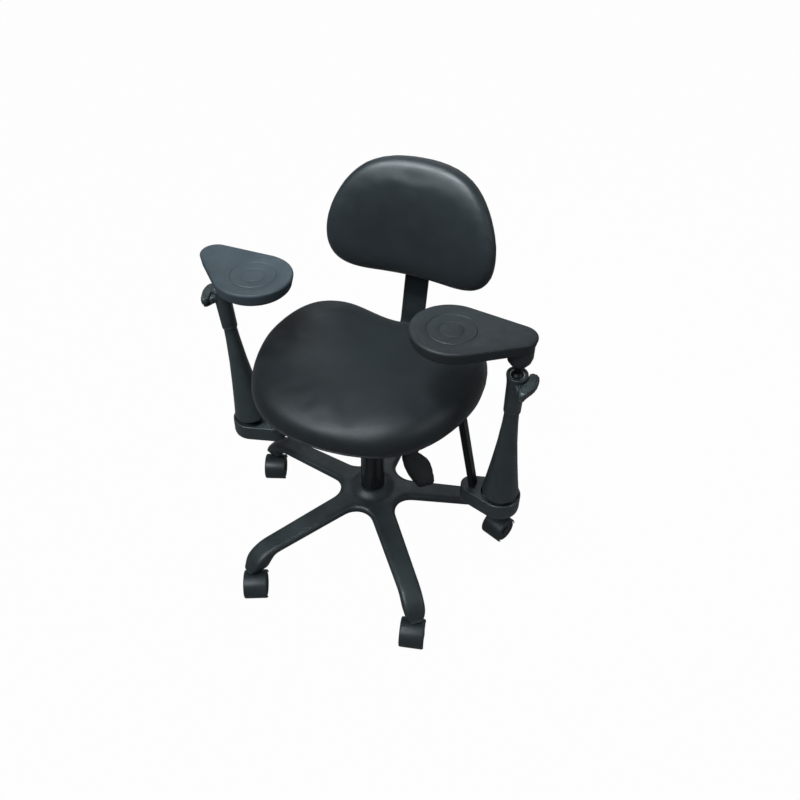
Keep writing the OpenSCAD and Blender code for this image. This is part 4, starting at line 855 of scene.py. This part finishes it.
def star_sector():
    """One fifth of the star: its top from a grid, its side walls extruded down from the outline."""
    rows, crotch_row = star_rows()
    last_row = len(rows) - 1
    last_side = len(across) - 1
    bpy.ops.mesh.primitive_grid_add(
        x_subdivisions=last_row, y_subdivisions=last_side, size=1, location=(0, 0, 0))
    sector = bpy.context.object
    in_edit(sector)
    mesh = bmesh.from_edit_mesh(sector.data)
    place = {v: (round((v.co.x + 0.5) * last_row), round((v.co.y + 0.5) * last_side)) for v in mesh.verts}
    for v, (i, j) in place.items():
        middle, end_x, end_y, arc = rows[i]
        t = across[j]
        if arc:
            x, y = middle * math.cos(t * sector_half), middle * math.sin(t * sector_half)
        else:
            x, y = middle + (end_x - middle) * t * t, end_y * t
        z = ridge(x, y) - shoulder_drop(to_edge(x, y)[0])
        v.co = (x, y, max(z, lip_low))

    def on_outline(e):
        (i0, j0), (i1, j1) = place[e.verts[0]], place[e.verts[1]]
        at_side = j0 == j1 and j0 in (0, last_side) and min(i0, i1) >= crotch_row
        return at_side or i0 == i1 == last_row

    pick_edges(sector, on_outline)
    bpy.ops.mesh.select_mode(type="EDGE")
    for share, inset in ((0.3, 0.10), (1, 0.9)):
        bpy.ops.mesh.extrude_edges_move()
        mesh = bmesh.from_edit_mesh(sector.data)
        for v in mesh.verts:
            if v.select:
                x, y, z = v.co
                inwards = to_edge(x, y)[1]
                move = wall_draw(x) * inset
                v.co = (x + inwards.x * move, y + inwards.y * move, z + (underside(x, y) - z) * share)
        bmesh.update_edit_mesh(sector.data)
    done()
    return sector


def rib(size, at, tilt, foot=1.0):
    """Thin wall under an arm, narrower at its foot."""
    bpy.ops.object.select_all(action="DESELECT")
    bpy.ops.mesh.primitive_cube_add(size=1, location=(0, 0, 0))
    wall = bpy.context.object
    in_edit(wall)
    bpy.ops.mesh.select_all(action="SELECT")
    bpy.ops.transform.resize(value=size)
    pick_faces(wall, lambda f: f.normal.z < -0.9)
    bpy.ops.transform.resize(value=(1, foot, 1))
    bpy.ops.mesh.select_all(action="SELECT")
    bpy.ops.mesh.bevel(offset=0.0005, segments=2, affect="EDGES")
    done()
    wall.rotation_euler = (0, tilt, 0)
    wall.location = at
    settled(wall)
    return wall


def star():
    """Shell, ribs, caster bosses and hub core of the base, joined to one moulding."""
    stems = [at for name, at in joint_at.items() if name.endswith("_swivel")]
    first = min((math.degrees(math.atan2(p.y, p.x)) for p in stems), key=lambda a: abs(a - front_arm))
    angles = [first + 72 * k for k in range(arm_count)]
    shell = joined(copies_round(star_sector(), angles), "star_shell")
    in_edit(shell)
    merge_all(0.0001)
    face_out()
    done()
    up = sum(p.normal.z > 0 for p in shell.data.polygons) > len(shell.data.polygons) / 2
    wall = shell.modifiers.new("wall", "SOLIDIFY")
    wall.thickness = 0.0036
    wall.offset = -1 if up else 1
    refined(shell)
    tilt = math.atan(arm_fall)
    mid = 0.150
    under = [rib((0.222, rib_wall, rib_deep), (mid + 0.004, 0, ridge(mid, 0) - rib_drop), tilt)]
    for x in (0.087, 0.151, 0.215):
        size = (rib_wall, 2 * arm_side_at(x) - 0.010, rib_deep)
        under.append(rib(size, (x, 0, ridge(x, 0) - rib_drop), tilt, 0.68))
    under.append(lathe("boss", [
        (0.0062, boss_low), (0.0150, boss_low), (0.0165, lip_low), (0.0168, 0.0625), (0.0062, 0.0790),
        (0.0062, boss_low),
    ], 40, (stem_ring, 0), True))
    ribs = joined(copies_round(joined(under, "arm_ribs"), angles), "star_ribs")
    core = lathe("hub_core", [
        (0.0262, 0.0722), (0.0315, 0.0722), (0.0328, 0.0736), (0.0330, 0.120), (0.0290, 0.1290),
        (0.0275, 0.1390), (0.0254, 0.1392), (0.0254, 0.0742), (0.0262, 0.0722),
    ], 72, closed=True)
    whole = joined([shell, ribs, core], "star_base_moulding")
    dress(whole, "base_polymer", "base", 38, ("star_base",))


star()


# ---------------------------------------------------------------- casters

wheel_r = 0.025
wheel_width = 0.0145
hood_r = 0.0290
hood_width = 0.0486
hood_open = (168, 312)
web_half = 0.0078
cap_sunk = 0.0009


def hub_cap():
    """Domed cap in the middle of a wheel, with a step round it, modelled along Z from its seat."""
    bpy.ops.object.select_all(action="DESELECT")
    bpy.ops.mesh.primitive_cylinder_add(vertices=40, radius=0.0085, depth=0.0016, location=(0, 0, 0.0008))
    cap = bpy.context.object
    settled(cap)
    in_edit(cap)
    pick_faces(cap, lambda f: f.normal.z > 0.9)
    terraced(((0.0014, 0), (0.0004, -0.0005), (0.0012, 0), (0.0008, 0.0006), (0.0014, 0.0003), (0.0012, 0.0001)))
    done()
    return cap


def hood_shell():
    """Hood over both wheels, open below, with rounded rims: axle along Y, centred on the axle."""
    bpy.ops.object.select_all(action="DESELECT")
    bpy.ops.mesh.primitive_cylinder_add(
        vertices=100, radius=hood_r, depth=hood_width, rotation=(math.pi / 2, 0, 0))
    hood = bpy.context.object
    settled(hood)
    in_edit(hood)
    pick_edges(hood, lambda e: abs(e.verts[0].co.y - e.verts[1].co.y) < 1e-6)
    bpy.ops.mesh.bevel(offset=0.0036, segments=5, profile=0.5, affect="EDGES")

    def gone(f):
        c = f.calc_center_median()
        turn = math.degrees(math.atan2(c.z, c.x)) % 360
        return abs(f.normal.y) > 0.999 or hood_open[0] < turn < hood_open[1]

    pick_faces(hood, gone)
    bpy.ops.mesh.delete(type="FACE")
    done()
    wall = hood.modifiers.new("wall", "SOLIDIFY")
    wall.thickness = 0.0016
    wall.offset = -1
    soft = hood.modifiers.new("soft", "BEVEL")
    soft.width = 0.0005
    soft.segments = 2
    soft.limit_method = "ANGLE"
    soft.angle_limit = math.radians(50)
    apply_all(hood)
    return hood


def caster_cover(n):
    """Hood, neck and web of one caster, on its stem."""
    stem = joint_at["caster_%d_swivel" % n]
    low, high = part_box("caster_%d_wheel_a" % n)
    low_b, high_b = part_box("caster_%d_wheel_b" % n)
    axle = (low + high + low_b + high_b) / 4
    ahead = Vector((axle.x - stem.x, axle.y - stem.y, 0)).normalized()
    sideways = Vector((-ahead.y, ahead.x, 0))
    shell = hood_shell()
    shell.rotation_euler = (0, 0, math.atan2(ahead.y, ahead.x))
    shell.location = (axle.x, axle.y, wheel_r)
    settled(shell)
    web = own_copy("caster_%d_hood" % n, "web")
    for side in (1, -1):
        in_edit(web)
        bpy.ops.mesh.select_all(action="SELECT")
        bpy.ops.mesh.bisect(
            plane_co=axle + sideways * side * web_half, plane_no=sideways * side, use_fill=True, clear_outer=True)
        done()
    neck = lathe("neck", [
        (0.0056, 0.050), (0.0112, 0.050), (0.0115, 0.0555), (0.0106, 0.0568), (0.0090, 0.0572),
        (0.0090, 0.0583), (0.0056, 0.0585), (0.0056, 0.050),
    ], 48, (stem.x, stem.y), True)
    whole = joined([shell, web, neck], "caster_%d_cover" % n)
    dress(whole, "caster_hood", "caster_%d_fork" % n, 40, ("caster_%d_hood" % n,))


pattern_cap = hub_cap()
for n in range(1, arm_count + 1):
    caster_cover(n)
for joint in frame["joints"]:
    if "_spin_" not in joint["name"]:
        continue
    caster, side = joint["name"].split("_spin_")
    wheel = caster + "_wheel_" + side
    low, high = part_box(wheel)
    middle = (low + high) / 2
    axis = Vector(joint["axis"])
    out = axis if (middle - joint_at[joint["name"]]).dot(axis) > 0 else -axis
    cap = linked(wheel + "_cap", pattern_cap.data.copy())
    on_axle(cap, middle + out * (wheel_width / 2 - cap_sunk), out)
    dress(cap, "caster_hood", caster + "_roll_" + side, angle=30)
bpy.data.objects.remove(pattern_cap)


# ---------------------------------------------------------------- room and light

white = (1, 1, 1, 1)


def emitted_to_camera(name, colour, to_camera, to_gloss):
    """Pale surface that shows white to the camera, darker in reflections, and still takes a soft shadow."""
    f = Finish(name)
    f.gloss(Base_Color=(*colour, 1), Roughness=0.8, Specular_IOR_Level=0.1)
    glow = f.node("ShaderNodeEmission", Color=white, Strength=1)
    seen = f.node("ShaderNodeLightPath").outputs
    mirrored = f.calc("MAXIMUM", seen["Is Glossy Ray"], seen["Is Transmission Ray"])
    in_gloss = f.calc("MULTIPLY", mirrored, to_gloss)
    mix = f.node("ShaderNodeMixShader")
    f.link(f.calc("MULTIPLY_ADD", seen["Is Camera Ray"], to_camera, in_gloss), mix.inputs["Fac"])
    f.link(f.shader.outputs["BSDF"], mix.inputs[1])
    f.link(glow.outputs[0], mix.inputs[2])
    f.link(mix.outputs[0], f.tree.nodes["Material Output"].inputs["Surface"])
    return f.mat


bpy.ops.object.select_all(action="DESELECT")
bpy.ops.mesh.primitive_plane_add(size=24, location=(0, 0, 0))
floor = bpy.context.object
floor.name = "floor"
floor.data.materials.append(emitted_to_camera("white_floor", (0.14, 0.14, 0.14), 0.985, 0.08))

# a dim sky that shows white to the camera
world = bpy.data.worlds.new("studio_world")
bpy.context.scene.world = world
world.use_nodes = True
wt = world.node_tree
sky = wt.nodes["Background"]
sky.inputs["Color"].default_value = (0.93, 0.96, 1.0, 1)
sky.inputs["Strength"].default_value = 0.18
backdrop = wt.nodes.new("ShaderNodeBackground")
backdrop.inputs["Color"].default_value = white
path = wt.nodes.new("ShaderNodeLightPath")
mix = wt.nodes.new("ShaderNodeMixShader")
wt.links.new(path.outputs["Is Camera Ray"], mix.inputs["Fac"])
wt.links.new(sky.outputs[0], mix.inputs[1])
wt.links.new(backdrop.outputs[0], mix.inputs[2])
wt.links.new(mix.outputs[0], wt.nodes["World Output"].inputs["Surface"])


def softbox(name, place, target, size, power, colour, spread=180):
    data = bpy.data.lights.new(name, "AREA")
    data.shape = "RECTANGLE"
    data.size, data.size_y = size
    data.energy = power
    data.color = colour
    data.spread = math.radians(spread)
    aimed(linked(name, data), place, target)


softbox("front_light", (-0.8, -2.2, 2.95), (0, 0, 0.7), (2.4, 1.1), 100, (0.86, 0.96, 1.0))
softbox("back_light", (-0.3, -0.55, 2.2), (-0.04, 0.22, 0.92), (0.8, 0.3), 7, (0.86, 0.96, 1.0), 50)
softbox("rear_light", (-0.7, 2.1, 2.1), (0, 0, 0.5), (1.8, 1.2), 10, (0.88, 0.96, 1.0))
softbox("right_light", (2.6, -0.2, 1.8), (0, 0, 0.6), (1.2, 1.4), 14, (0.88, 0.96, 1.0))
